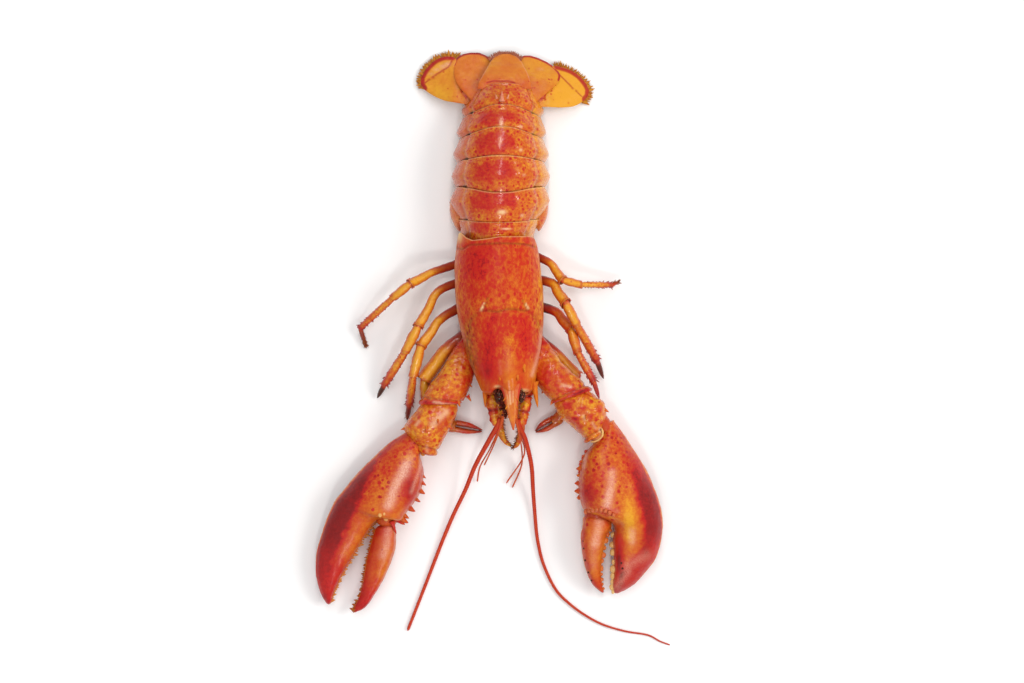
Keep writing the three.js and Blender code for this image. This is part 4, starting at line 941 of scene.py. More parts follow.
# A plate: a flat shell that thins to its free edge, with a swell, striations and a suture
def makePlate(name, plate):
    form = fanLook["form"]
    rows = np.array(plate["rows"])
    places = np.linspace(0, 1, len(rows))
    half = fanLook["thickness"] / 2 + (fanLook["edgeThickness"] - fanLook["thickness"]) / 2 * places ** 1.5
    ribs = [[*row, h, h, 0] for row, h in zip(rows, half)]
    grid, t, angle = shellGrid(ribs, form)
    x, y, across, up = grid[..., 0], grid[..., 1], np.cos(angle), np.sin(angle)
    top = smooth(up, 0.0, 0.3)
    lift = fanLook["striation"] * np.cos(across * 60 + 2 * waves(grid, 9, 6)) * smooth(t, 0.3, 0.8)
    lift += 0.22 * waves(grid, 8, len(name)) + 0.5 * (1 - across ** 2) * smooth(t, 0.0, 0.4)
    seam = np.zeros(x.shape)
    if plate["suture"]:
        away = lineDistance(x, y, plate["suture"])
        seam = bell(away, 0.45)
        lift -= 0.3 * seam
    grid[..., 2] += lift * top
    # the red rim: a band inside the plate's edge, from a place t along each of its two sides
    edge = [grid[t[:, 0] > start, column, :2]
            for start, column in zip(plate["rim"], (0, grid.shape[1] // 2))]
    edge = np.concatenate([*edge, grid[-1, :, :2]])
    inward = np.sqrt(((grid[:, :, None, :2] - edge[::2]) ** 2).sum(-1).min(-1))
    width = fanLook["rimWidth"]["outer" if "outer" in name else "inner"]
    red = smooth(inward, width, 0.5 * width) * (plate["rim"][0] < 1)
    tone = plate["tone"] + fanLook["rimTone"] * red + 0.06 * waves(grid, 14, 5) + 0.36 * seam
    tone = tone + 0.16 * bell(t, 0.2) + 0.04 * np.cos(across * 60) * smooth(t, 0.4, 0.9)
    # painted highlights: the patches in plan and a pale line along the telson's sides
    glow = patches(x, y, fanLook["glow"])
    edgeLight = bell(np.abs(across) - 0.96, 0.03) * (name == "telson") * smooth(t, 0.1, 0.3)
    return [closeGrid(grid, tone=tone, speck=0.25 * bell(t, 0.3),
                      bloom=np.clip((glow + 0.4 * edgeLight) * top, 0, 1), stain=0.2 * red + 0.2 * seam)]


for name, plate in fanPlates.items():
    addPiece("plate_" + name, makePlate(name, plate), "fanShell", "shell_orange", name)

fanBases = {
    "fan_base_right": [[-12.0, 136.8, 9.0, 3.0, 3.0], [-14.8, 141.4, 9.4, 3.6, 3.4],
                       [-16.0, 146.2, 9.4, 3.0, 2.6]],
    "fan_base_left": [[24.6, 136.4, 9.0, 3.0, 3.0], [26.8, 140.6, 9.4, 3.4, 3.4],
                      [27.8, 144.6, 9.4, 2.8, 2.6]],
}


# A knuckle: a short waisted limb with two spines on its outer side
def makeFanBase(name, stations):
    form = {"along": 40, "around": 32, "roundStart": 0.2, "roundEnd": 0.3}
    grid, t, _ = limbGrid(stations, form, lambda t: 1 - 0.14 * bell(t - 0.55, 0.08))
    grid = raised(grid, 0.15 * waves(grid, 4, 8))
    hand = -1 if name.endswith("right") else 1
    root = np.array([stations[1][0] + hand * 2.2, stations[1][1], 11])
    tip = root + [hand * 1.4, 5.0, 0.6]
    return [closeGrid(grid, tone=0.34 + 0.4 * bell(t - 0.55, 0.1), speck=0.3, bloom=0.15),
            horns([root, root + [-hand * 2.4, 2, 0.8]], [tip, tip + [-hand * 3, 1.4, 0]], 0.9, tone=0.5)]


for name, stations in fanBases.items():
    addPiece("knuckle_" + name, makeFanBase(name, stations), "fanShell", "shell_orange", name)
print("tail fan ready")


# Breastplate: a broad flat keel with a groove between each pair of legs

breast = {
    "rows": [[57.0, 3.0, 8.0], [40.0, 3.2, 10.0], [18.0, 4.6, 9.6], [-2.0, 6.0, 7.6], [-20.0, 8.2, 4.0]],
    "level": 2.3, "rise": 2.3, "drop": 3.2,
    "grooves": [49, 33, 18, 4, -10],
}


# A flat shell with square sides, less a bell over each groove
def makeBreast():
    ribs = acrossRibs([[y, x, breast["level"], half, breast["rise"], breast["drop"]]
                       for y, x, half in breast["rows"]])
    form = {"along": 90, "around": 60, "topPower": 4, "bottomPower": 8, "roundStart": 0.05,
            "roundEnd": 0.08}
    grid, _, _ = shellGrid(ribs, form)
    line = sum(bell(grid[..., 1] - groove, 0.8) for groove in breast["grooves"])
    grid = raised(grid, -0.5 * line)
    return [closeGrid(grid, tone=0.12 + 0.2 * line, bloom=0.55, stain=0.2 * line)]


addPiece("underPlate", makeBreast(), "softSkin", "soft_under", "breastplate")


# Eyes on short stalks beside the rostrum

eyes = {
    "eye_right": [(3.8, -27.6, 32.5), (2.7, 4.6, 3.4)],
    "eye_left": [(16.2, -27.6, 32.5), (2.2, 3.8, 3.4)],
}


# An eye: an uneven ball with small pale knobs on its upper side, painted pale as glints
def makeEye(centre, size):
    ball = knobs(centre, [0, 1, 0], [size[1], size[0], size[2]], rings=44, around=48, tone=1.0, stain=0.96)
    offset = ball["points"] - centre
    ball["points"] = centre + offset * (1 + 0.06 * waves(offset, 2.6, 14))[:, None]
    pale = smooth(waves(offset, 2.4, 15), 0.35, 0.6)
    ball["stain"] = 0.98 - 0.2 * smooth(offset[:, 1], 1.0, 4.5) - 0.3 * pale
    draw = np.random.default_rng(16)
    out = unit(draw.normal(0, 1, (12, 3)) * [1, 1, 0.4] + [0, 0, 1.2])
    glintFlecks = knobs(centre + out * size * 0.98, out, draw.uniform(0.2, 0.4, (12, 3)), rings=6, around=8,
                   tone=0.6, bloom=0.5, stain=0.3)
    return [ball, glintFlecks]


for name, (centre, size) in eyes.items():
    addPiece("gloss_" + name, makeEye(np.array(centre), size), "eyeGloss", "eye_black", name)


# Walking legs: hip, mid thigh, knee, wrist, heel, tip; half widths of thigh, shin, foot, claw

legRoutes = {
    "leg_5_right": {
        "path": [(-13, 49.5, 5.5), (-33, 42.4, 15), (-46.5, 35.5, 21),
                 (-56.5, 27.5, 17), (-75.5, 10.5, 5), (-72, -1, 1.6)],
        "thick": (2.6, 2.6, 2.0, 1.1), "tip": 0.6, "shade": 0.0,
    },
    "leg_4_right": {
        "path": [(-13, 39, 5.5), (-30.5, 31.5, 15), (-42, 11.5, 23),
                 (-49.5, -3, 18), (-61.5, -21.5, 7), (-66, -29.5, 2)],
        "thick": (2.7, 2.9, 2.4, 1.3), "tip": 0.95, "shade": 0.02,
    },
    "leg_3_right": {
        "path": [(-12, 26, 5.5), (-29, 16, 15), (-40.5, 0.5, 21),
                 (-45, -16.5, 17), (-47.5, -33, 6.5), (-49, -42, 2)],
        "thick": (2.9, 3.0, 2.3, 1.3), "tip": 0.7, "shade": 0.0,
    },
    "leg_2_right": {
        "path": [(-10, 10, 5.5), (-26, -1.5, 11), (-39, -18.5, 12.5),
                 (-38.5, -28.5, 8), (-25, -44.5, 4.6), (-6, -48, 3.4)],
        "thick": (4.2, 2.8, 2.8, 1.5), "tip": 0.8, "shade": 0.02,
    },
    "leg_5_left": {
        "path": [(18.5, 54, 5.5), (32, 47.5, 13), (39.5, 37.5, 19),
                 (50, 35, 15), (67.5, 35, 8), (72, 37, 6)],
        "thick": (2.6, 2.4, 1.7, 0.9), "tip": 0.2, "shade": 0.05,
    },
    "leg_4_left": {
        "path": [(19, 39, 5.5), (33, 36, 15), (41, 24.5, 24),
                 (47.5, 12, 20), (59, -8, 8), (63, -18.5, 2)],
        "thick": (3.0, 2.9, 2.5, 1.4), "tip": 0.85, "shade": 0.06,
    },
    "leg_3_left": {
        "path": [(19, 25, 5.5), (35, 20, 11), (44, 10, 15),
                 (48, -3.5, 20), (57, -20, 25), (60, -29.5, 25)],
        "thick": (3.0, 2.9, 2.2, 1.2), "tip": 0.35, "shade": 0.30,
    },
    "leg_2_left": {
        "path": [(17.5, 11, 5.5), (36, -4, 11.5), (48, -17, 12),
                 (44, -28, 6.6), (37, -41, 4.2), (24, -48.5, 3.2)],
        "thick": (3.2, 2.6, 2.7, 1.4), "tip": 0.8, "shade": 0.12,
    },
}
legLook = {
    "around": 28,
    "rim": 1.3,            # length of the flared socket at a segment's end
    "flare": 0.09,
    "wall": 0.5,
    "tone": -0.03,
    # redder at the sides of each segment: painted shade along its sides
    "edgeTone": 0.42,
    "rimTone": 0.34,
    # darker near the body: part pigment, part painted shade
    "bodyTone": 0.50,
}


# The point at a distance from start on the way to end
def pointToward(start, end, distance):
    start, end = np.array(start, float), np.array(end, float)
    return start + (end - start) / np.linalg.norm(end - start) * distance


def station(point, half):
    return [*point, half, half]


def halfway(start, end):
    return (np.array(start, float) + np.array(end, float)) / 2


# A segment of a leg: a limb that flares at its far end into a socket with a thin wall
def legSegment(rows, along, seed, toneAt, speck, stainAt=None):
    rows = np.array(rows)
    length = np.linalg.norm(np.diff(rows[:, :3], axis=0), axis=1).sum()
    rim = legLook["rim"] / length
    form = {"along": along, "around": legLook["around"], "crowd": 0.5, "roundStart": 0.12, "roundEnd": 0}
    grid, t, angle = limbGrid(rows, form, lambda t: 1 + legLook["flare"] * bell(t - 1 + rim * 0.3, rim)
                              - 0.03 * bell(t - 1 + rim * 2.4, rim))
    tilt = 0.6 * np.cos(angle) * smooth(t, 0.7, 1.0) / length
    grid = grid + unit(rows[-1, :3] - rows[-2, :3]) * (tilt * length)[..., None]
    grid = raised(grid, 0.14 * waves(grid, 6, seed) + 0.05 * waves(grid, 1.8, seed + 1))
    grid, t, angle = withMouth(grid, t, angle, legLook["wall"], 1.0)
    atRim = bell(t - 1 + rim * 0.6, rim * 0.6) * (0.6 + 0.4 * waves(grid, 3, seed + 2))
    tone = toneAt(t) + legLook["edgeTone"] * np.cos(angle) ** 2 + legLook["rimTone"] * atRim
    # dark joint rims, and painted shade inside the socket's mouth
    stain = 0.16 * atRim + 0.6 * (t > 1.5)
    if stainAt:
        stain = stain + stainAt(t)
    return closeGrid(grid, tone=tone, speck=speck, stain=np.clip(stain, 0, 1))


# A thigh: a segment from hip to knee with three small spines at its far rim
def makeThigh(route):
    hip, mid, knee = route["path"][:3]
    wide = route["thick"][0]
    end = pointToward(knee, mid, -0.15 * wide)
    rows = [station(hip, wide * 1.0), station(mid, wide * 0.88), station(halfway(mid, knee), wide * 0.98),
            station(end, wide * 1.08)]
    base = legLook["tone"] + route["shade"]
    # painted shade near the hip, on top of the darker tone by the body
    made = [legSegment(rows, 64, 11, lambda t: base + legLook["bodyTone"] * smooth(t, 0.44, 0.2), 0.0,
                       lambda t: 0.45 * smooth(t, 0.40, 0.2))]
    forward = unit(end - np.array(mid))
    side = unit(np.array([forward[1], -forward[0], 0]))
    share = np.array([[-0.95], [0.95], [0.2]])
    root = end - forward * 1.4 + side * share * wide + np.array([[0, 0, 0], [0, 0, 0], [0, 0, wide * 0.9]])
    made.append(horns(root, root + forward * 2.0 + side * share * 0.6, 0.5, tone=0.5))
    return made


# A shin: a segment that starts inside the thigh's socket
def makeShin(route):
    knee, wrist = route["path"][2:4]
    wide = route["thick"][1]
    rows = [station(pointToward(knee, wrist, -0.8 * wide), wide * 0.66),
            station(pointToward(knee, wrist, wide * 0.6), wide * 0.86),
            station(halfway(knee, wrist), wide * 1.02),
            station(pointToward(wrist, knee, -0.1 * wide), wide * 0.84)]
    base = legLook["tone"] + route["shade"] * 0.5
    return [legSegment(rows, 46, 12, lambda t: base + 0.34 * smooth(t, 0.26, 0.14), 0.0)]


# A foot: a segment and a slim claw, or a nipper on the second legs
def makeFoot(name, route):
    wrist, heel, tip = route["path"][3:6]
    foot, claw = route["thick"][2:4]
    base = legLook["tone"] + 0.14 + route["shade"] * 0.3
    if name.startswith("leg_2"):
        return makeNipper(wrist, heel, tip, foot, base)
    rows = [station(pointToward(wrist, heel, -0.8 * foot), foot * 0.7),
            station(pointToward(wrist, heel, foot * 0.8), foot * 0.9),
            station(halfway(wrist, heel), foot), station(pointToward(heel, wrist, -0.2), foot * 0.86)]
    if name == "leg_5_left":
        base -= 0.14
    made = [legSegment(rows, 60, 13, lambda t: base + 0.26 * smooth(t, 0.55, 1.0), 0.5,
                       lambda t: 0.16 * smooth(t, 0.8, 1.0))]
    rows = [station(pointToward(heel, tip, -0.8), claw), station(pointToward(heel, tip, 1.6), claw * 1.16),
            station(halfway(heel, tip), claw * 1.05), station(tip, claw * 0.5)]
    form = {"along": 40, "around": 22, "roundStart": 0.15, "roundEnd": 0.22}
    grid, t, _ = limbGrid(rows, form)
    grid = raised(grid, 0.06 * waves(grid, 2.5, 14))
    grid[..., 2] = np.maximum(grid[..., 2], 0.05)
    made.append(closeGrid(grid, tone=0.45 + 0.4 * t, speck=0.6, stain=route["tip"] * smooth(t, 0.15, 0.5)))
    return made


# A nipper: a flat palm with a fixed finger and a free finger side by side
def makeNipper(wrist, heel, tip, foot, base):
    forward = unit(np.array(tip, float) - np.array(heel))
    side = unit(np.array([forward[1], -forward[0], 0]))
    rows = [station(pointToward(wrist, heel, -0.8 * foot), foot * 0.7), station(halfway(wrist, heel), foot),
            [*heel, foot * 1.25, foot * 0.95], [*pointToward(heel, tip, 4.0), foot * 1.3, foot * 0.9]]
    form = {"along": 60, "around": 28, "roundStart": 0.1, "roundEnd": 0.06}
    grid, t, angle = limbGrid(rows, form)
    grid = raised(grid, 0.1 * waves(grid, 4, 15))
    # redder at the sides: painted shade along them
    made = [closeGrid(grid, tone=base + 0.1 * np.cos(angle) ** 2 + 0.2 * t, speck=0.6, stain=0.15 * t)]
    for hand in (-1, 1):
        root = pointToward(heel, tip, 3.0) + side * hand * foot * 0.66
        end = np.array(tip, float) + side * hand * 0.35
        middle = halfway(root, end) + side * hand * 0.75
        rows = [[*root, foot * 0.6, foot * 0.75], [*middle, foot * 0.52, foot * 0.6],
                [*end, foot * 0.16, foot * 0.16]]
        grid, t, angle = limbGrid(rows, {"along": 44, "around": 24, "roundStart": 0.1, "roundEnd": 0.08})
        # painted shade on the fingers' facing sides, between them, and brown tips
        inner = smooth(-hand * np.cos(angle), 0.2, 0.8)
        made.append(closeGrid(raised(grid, 0.07 * waves(grid, 3, 16 + hand)), tone=0.4 + 0.3 * t, speck=0.6,
                              stain=np.clip(0.5 * inner + 0.5 * smooth(t, 0.45, 0.95), 0, 0.9)))
    return made


for name, route in legRoutes.items():
    addPiece(name + "_thighShell", makeThigh(route), "legShell", "shell_orange", name + "_thigh")
    addPiece(name + "_shinShell", makeShin(route), "legShell", "shell_orange", name + "_shin")
    addPiece(name + "_footShell", makeFoot(name, route), "legShell", "shell_orange", name + "_foot")
print("walking legs ready")


# Claw arms: upper arm and wrist; middle x, y, half vector, level, rise, drop

armForm = {"along": 96, "around": 90, "topPower": 2.2, "bottomPower": 2.2, "roundStart": 0.06,
           "roundEnd": 0.035, "crowd": 0.2}
# each arm's glints are painted highlights: stops, reach and amount
arms = {
    "cutter_arm": {
        "ribs": edgeRibs([[-8.0, 8.0, 5.0, -3.4, 9, 5.0, 5.0], [-15.5, -5.5, 7.0, -3.8, 15, 7.0, 6.5],
                          [-20.5, -17.0, 8.4, -4.2, 19, 8.4, 7.5],
                          [-26.0, -26.0, 10.4, -3.2, 20, 9.0, 8.0],
                          [-30.6, -33.0, 12.0, 0.6, 20, 9.0, 8.0]]),
        "tone": 0.27,
        "red": [(-10, -8, 4, 10, 0.4), (-14, -22, 4, 7, 0.22), (-22, -30, 7, 3, 0.2),
                (-26, -10, 4, 10, -0.10), (-33, -32, 5, 3, 0.16)],
        "glints": [([(-33, -31.0), (-27, -32.4), (-21, -33.0)], 0.8, 0.5)],
        "spines": [((-37.5, -29.5, 24), (-40.5, -33.4, 25), 1.3),
                   ((-20.0, -29.0, 24), (-18.4, -34.0, 25), 1.4),
                   ((-14.4, -27.6, 20), (-12.2, -31.0, 20), 1.1),
                   ((-14.0, -20.6, 20), (-11.6, -23.0, 20), 1.0)],
    },
    "cutter_wrist": {
        "ribs": edgeRibs([[-30.6, -29.6, 9.0, 0.6, 19, 6.0, 6.0], [-31.4, -34.8, 11.8, 1.0, 19, 8.0, 7.0],
                          [-34.4, -40.6, 13.4, 0.6, 18.5, 10.0, 8.0],
                          [-37.8, -47.2, 12.6, -0.8, 17.5, 10.4, 8.5],
                          [-37.8, -54.2, 8.4, -2.0, 16.5, 9.4, 8.0],
                          [-36.4, -61.6, 4.2, -0.6, 15.5, 6.5, 6.0]]),
        "tone": 0.23,
        "red": [(-31, -42, 5, 4, 0.12), (-40, -46, 3, 3, 0.14), (-38.6, -60.6, 5, 2.2, 0.30),
                (-27, -44, 3.4, 4, 0.20), (-46, -43, 2.4, 3, 0.20)],
        "glints": [([(-26.2, -36.8), (-29.6, -40.0), (-33.6, -43.8)], 1.7, 0.62),
                   ([(-41.6, -42.0), (-43.0, -44.0)], 0.9, 0.5),
                   ([(-37.2, -56.0), (-37.0, -59.0)], 0.9, 0.3)],
        "spines": [((-45.5, -44.5, 19), (-52.0, -47.0, 20), 1.5),
                   ((-37.0, -44.0, 26), (-37.5, -48.6, 29.6), 1.3),
                   ((-31.0, -40.0, 26.4), (-30.6, -43.6, 29.0), 1.1),
                   ((-24.8, -45.0, 21), (-22.6, -46.6, 21.6), 1.1)],
    },
    "crusher_arm": {
        "ribs": edgeRibs([[18.5, 9.0, -5.2, -3.6, 9, 5.2, 5.0], [26.0, -5.5, -7.6, -5.0, 15, 7.0, 6.5],
                          [32.5, -15.6, -7.6, -6.0, 19, 8.6, 7.5],
                          [39.5, -23.0, -8.6, -6.0, 20, 9.4, 8.5],
                          [45.6, -28.6, -11.4, -3.4, 20, 9.2, 8.5]]),
        "tone": 0.24,
        "red": [(30, -18, 6, 6, 0.38), (26, -8, 5, 6, 0.10), (38, -16, 5, 5, 0.16),
                (41, -25, 9, 2.6, 0.34),
                (50, -27, 4, 3, 0.2)],
        "glints": [([(39.0, -21.5), (44.0, -22.6)], 0.8, 0.5), ([(33, -2), (43, -14)], 0.9, 0.3)],
        "spines": [((53.0, -25.5, 24), (56.5, -28.5, 25), 1.3),
                   ((35.0, -29.0, 22), (32.4, -33.0, 22.6), 1.4),
                   ((30.0, -23.4, 20), (27.4, -26.6, 20), 1.1)],
    },
    "crusher_wrist": {
        "ribs": edgeRibs([[43.4, -26.6, -9.0, -2.6, 19.5, 6.4, 6.5],
                          [46.6, -30.6, -11.8, -3.0, 19.5, 8.4, 7.5],
                          [50.4, -35.6, -12.6, -4.0, 19, 10.4, 8.5],
                          [54.6, -41.8, -9.6, -4.0, 18.5, 10.2, 8.5],
                          [56.6, -47.2, -6.4, -3.4, 17.5, 7.6, 7.0],
                          [57.0, -52.2, -4.6, -2.6, 17, 5.4, 5.0]]),
        "tone": 0.24,
        "red": [(42, -33, 2.6, 2.2, 0.55), (46, -41, 2.4, 2.0, 0.55), (50.6, -34.8, 2.0, 1.6, 0.50),
                (55.4, -39.0, 1.6, 1.6, 0.5), (49.0, -45.0, 2.0, 1.8, 0.4), (60.0, -36.0, 1.8, 1.8, 0.4)],
        "glints": [([(51.0, -39.0), (52.0, -41.0)], 0.9, 0.5), ([(56.0, -43.0), (58.0, -46.0)], 0.8, 0.4),
                   ([(60.4, -46.6), (61.6, -49.6), (60.0, -52.4)], 0.9, 0.9)],
        "spines": [((60.5, -34.0, 20), (65.6, -37.0, 20.6), 1.6),
                   ((53.0, -37.0, 27), (52.5, -41.6, 30.6), 1.3),
                   ((40.5, -38.0, 22), (37.8, -41.6, 22.6), 1.4),
                   ((62.0, -41.0, 20), (65.4, -44.0, 20.6), 1.3)],
    },
}


# An arm part: a shell with lumps, a groove before its far end and a raised lip
def makeArm(name, arm):
    grid, t, angle = shellGrid(arm["ribs"], armForm)
    x, y, up = grid[..., 0], grid[..., 1], np.sin(angle)
    lumps = 0.30 * waves(grid, 9, 41) + 0.14 * waves(grid, 3.0, 42)
    groove = bell(t - 0.88, 0.022)
    grid = raised(grid, lumps - 0.55 * groove + 0.5 * bell(t - 0.95, 0.04) - 0.2)
    lip = bell(t - 0.95, 0.035) * name.endswith("arm")
    tone = arm["tone"] + patches(x, y, arm["red"]) + 0.45 * lip + 0.10 * smooth(-up, 0, 0.4)
    if name.endswith("arm"):
        tone = tone + 0.45 * smooth(t, 0.34, 0.1)
    # painted light: highlights along the glint lines, and shade in the groove before the lip
    glint = streaks(x, y, arm["glints"]) * smooth(up, 0.1, 0.5)
    shell = closeGrid(grid, tone=tone, speck=0.5 * smooth(up, -0.2, 0.3), bloom=np.clip(glint, 0, 1),
                      stain=0.3 * bell(t - 0.88, 0.015), cream=0.4 * glint)
    roots, tips, radii = zip(*arm["spines"])
    return [shell, horns(roots, tips, radii, bends=[0, 0, 0.3], rings=9, around=12, tone=0.36, speck=0.3)]


for name, arm in arms.items():
    addPiece(name + "Shell", makeArm(name, arm), "armShell", "shell_red", name)
print("claw arms ready")


# Claws. Along a section, edge runs from -1 at the outer side to 1 at the toothed inner side.

palmForm = {"along": 176, "around": 110, "topPower": 2.1, "bottomPower": 2.1, "roundStart": 0.02,
            "roundEnd": 0.015, "crowd": 0.1}
fingerForm = {"along": 110, "around": 72, "topPower": 2.2, "bottomPower": 2.2, "roundStart": 0.07,
              "roundEnd": 0.02, "crowd": 0.2}
cutterCrest = 0.35
crusherCrest = 0.25
# The band is the dark stripe outside a line of stops y, x; its hand is the side it lies on
# each claw's glints are painted highlights along lines in plan, and its shadow patches painted shade
claws = {
    "cutter_palm": {
        "form": dict(palmForm, crest=cutterCrest),
        "base": [-42.9, -52.0, 3.4, -5.4, 14.4, 6.6, 6.4],
        "ribs": edgeRibs([
            [-45.2, -55.2, 4.2, -6.8, 14, 8.5, 8.0], [-48.5, -60.0, 8.6, -6.8, 13, 11.5, 10.0],
            [-52.4, -67.0, 13.2, -6.4, 12.5, 14.4, 12.0], [-59.0, -77.5, 17.4, -6.2, 12.5, 16.4, 12.5],
            [-67.0, -88.0, 17.9, -6.5, 12, 16.2, 12.0], [-70.6, -92.6, 18.4, -6.2, 12, 15.4, 11.8],
            [-78.0, -95.0, 13.9, -3.1, 11, 12.4, 10.6], [-84.4, -106.0, 12.4, -1.1, 10, 10.0, 9.4],
            [-90.0, -118.5, 10.2, -1.4, 9, 8.6, 8.2], [-93.0, -129.5, 7.6, 0.3, 8, 7.0, 6.8],
            [-93.8, -139.0, 4.2, 0.8, 7, 5.2, 5.0], [-93.2, -146.8, 0.8, 0.2, 6, 2.0, 2.0]]),
        "tone": 0.34,
        "band": {"hand": -1, "line": [(-50, -50), (-57, -57.5), (-62.9, -64), (-75.3, -69.6),
                                      (-81.9, -72.1),
                                      (-91.1, -76.1), (-100.7, -80.6), (-110.1, -85.3), (-119.3, -89.0),
                                      (-127, -92.5), (-138, -99)],
                 "tones": [(-50, 0.34), (-62, 0.48), (-76, 0.60), (-108, 0.60), (-122, 0.47),
                           (-132, 0.40),
                           (-150, 0.26)]},
        "tipTone": [(-117, 0.0), (-129, 0.34), (-150, 0.38)],
        "patches": [(-46.5, -80, 4.6, 11, 0.50), (-47, -63, 5, 4, -0.12), (-65, -92, 6, 5, -0.06),
                    (-77, -108, 4, 9, -0.05), (-57, -66, 6, 8, 0.08), (-50, -57, 5, 5, 0.14),
                    (-39.5, -70, 3, 8, 0.2)],
        "glints": [([(-49.1, -66.8), (-54.6, -78.1), (-58.7, -89.5)], 2.5, 1.0),
                   ([(-46.0, -63.0), (-48.6, -72.0)], 2.6, 0.4),
                   ([(-39.6, -64.0), (-42.0, -72.0), (-45.6, -82.0)], 1.1, 0.6),
                   ([(-84, -118), (-80, -108)], 2.4, 0.06)],
        "shadow": [(-46.0, -79, 4.0, 10, 0.22)],
        "halo": 0.10,
        "dotsTo": -92,
    },
    "cutter_finger": {
        "form": dict(fingerForm, crest=cutterCrest),
        "base": None,
        "ribs": edgeRibs([
            [-60.6, -99.8, 5.2, 0.8, 13, 6.0, 6.0], [-61.2, -106.5, 6.5, -0.2, 12.5, 7.6, 7.0],
            [-62.5, -114.0, 7.2, -0.6, 12, 7.6, 7.0], [-65.0, -122.5, 7.1, 0, 11, 7.0, 6.4],
            [-67.6, -131.5, 6.0, 0, 10, 6.0, 5.6], [-71.0, -140.0, 4.3, 0, 9, 4.8, 4.6],
            [-75.0, -147.0, 2.8, -1.0, 8, 3.4, 3.2], [-79.6, -151.0, 0.8, -0.4, 7, 1.4, 1.4]]),
        "tone": 0.36,
        "band": {"hand": -1, "line": [(-98, -62.6), (-106, -64.4), (-122, -69.4), (-140, -72.6),
                                      (-152, -76)],
                 "tones": [(-98, 0.30), (-120, 0.24), (-140, 0.30), (-152, 0.3)]},
        "tipTone": [(-128, 0.0), (-142, 0.30), (-152, 0.36)],
        "patches": [(-60, -102, 5, 5, 0.20), (-62, -128, 4, 10, -0.06)],
        "glints": [([(-59.0, -103.0), (-60.0, -112.0), (-62.0, -118.0)], 2.5, 0.58)],
        "shadow": [],
        "halo": 0.10,
        "dotsTo": -106,
    },
    "crusher_palm": {
        "form": dict(palmForm, crest=crusherCrest),
        "base": [64.6, -43.0, -3.6, -2.2, 16.4, 5.6, 5.4],
        "ribs": edgeRibs([
            [66.8, -44.8, -3.0, -1.0, 16, 6.0, 6.0], [65.8, -52.2, -8.6, -2.4, 15.5, 10.5, 10.0],
            [65.6, -58.6, -13.4, -1.6, 15.5, 13.5, 12.5], [67.2, -67.0, -17.6, -1.0, 15, 16.4, 14.4],
            [69.6, -78.5, -21.4, 0, 15, 18.2, 15.0], [72.0, -88.5, -22.4, 0, 14.6, 18.2, 14.6],
            [74.6, -94.4, -21.4, 0.6, 14.2, 17.2, 14.2], [82.0, -101.6, -14.4, 1.1, 13, 14.4, 12.8],
            [81.5, -110.5, -13.6, 0.9, 12, 12.0, 11.6], [80.5, -120.0, -11.9, 0, 10.5, 10.2, 10.0],
            [77.5, -128.5, -8.9, 0, 9, 8.4, 8.4], [73.5, -135.5, -5.7, 0.3, 8, 6.0, 6.4],
            [69.4, -140.2, -1.0, 0.4, 7, 2.2, 2.4]]),
        "tone": 0.31,
        "band": {"hand": 1, "line": [(-52, 72.5), (-62.2, 74.6), (-69.7, 78.0), (-80.9, 79.8),
                                     (-91.3, 83.1),
                                     (-102.6, 85.4), (-112.8, 84.4), (-118.6, 78.5), (-126, 74),
                                     (-142, 66)],
                 "tones": [(-50, 0.10), (-60, 0.20), (-70, 0.52), (-82, 0.62), (-104, 0.60), (-116, 0.44),
                           (-142, 0.40)]},
        "tipTone": [(-124, 0.0), (-134, 0.08), (-142, 0.1)],
        "patches": [(77.0, -98, 4.8, 15, -0.32), (54.0, -82, 5, 7, 0.50), (71.2, -118, 3.0, 15, 0.62),
                    (57, -72, 5, 5, 0.12), (64, -92, 5, 3, 0.20), (66, -62, 14, 14, 0.05)],
        "glints": [([(67.0, -70.5), (66.4, -78.0), (64.6, -88.5)], 2.2, 0.75),
                   ([(65.2, -82.0), (63.0, -89.5)], 2.2, 0.30),
                   ([(78.2, -104.0), (78.6, -110.0)], 1.9, 0.5),
                   ([(76.0, -124.0), (87.0, -118.0)], 3.0, 0.34),
                   ([(52.6, -56.0), (51.4, -68.0)], 1.0, 0.5),
                   ([(70.0, -136.0), (76.0, -128.0)], 2.6, 0.36)],
        "shadow": [(53.5, -84, 5, 5, 0.16), (86.5, -114, 3, 6, 0.20)],
        "halo": 0.08,
        "dotsTo": -100,
    },
    "crusher_finger": {
        "form": dict(fingerForm),
        "base": None,
        "ribs": edgeRibs([
            [58.6, -94.8, -7.6, 0.6, 16, 7.0, 7.0], [59.0, -101.0, -8.3, 0.6, 15.5, 8.6, 8.0],
            [57.0, -107.0, -7.4, -0.1, 15, 8.4, 8.0], [56.5, -114.5, -6.3, 0, 13.6, 7.6, 7.0],
            [56.5, -122.0, -5.2, 0, 11.6, 6.4, 6.0], [57.5, -129.5, -3.8, -0.2, 9.8, 5.0, 4.8],
            [59.6, -135.4, -2.6, -0.3, 8.4, 3.4, 3.4], [62.6, -139.8, -0.6, -0.2, 7.4, 1.4, 1.4]]),
        "tone": 0.26,
        "band": {"hand": -1, "line": [(-92, 51.6), (-104, 51.6), (-116, 51.8), (-128, 54.4), (-142, 60)],
                 "tones": [(-92, 0.30), (-110, 0.42), (-142, 0.36)]},
        "tipTone": [(-126, 0.0), (-138, 0.26), (-142, 0.3)],
        "patches": [(64, -98, 2.4, 6, 0.24), (55, -97, 3, 4, 0.12)],
        "glints": [([(60.4, -96.5), (59.4, -104.0), (58.2, -111.0)], 2.4, 0.62),
                   ([(57.0, -112.0), (56.6, -124.0)], 2.6, 0.22)],
        "shadow": [],
        "halo": 0.06,
        "dotsTo": -100,
    },
}


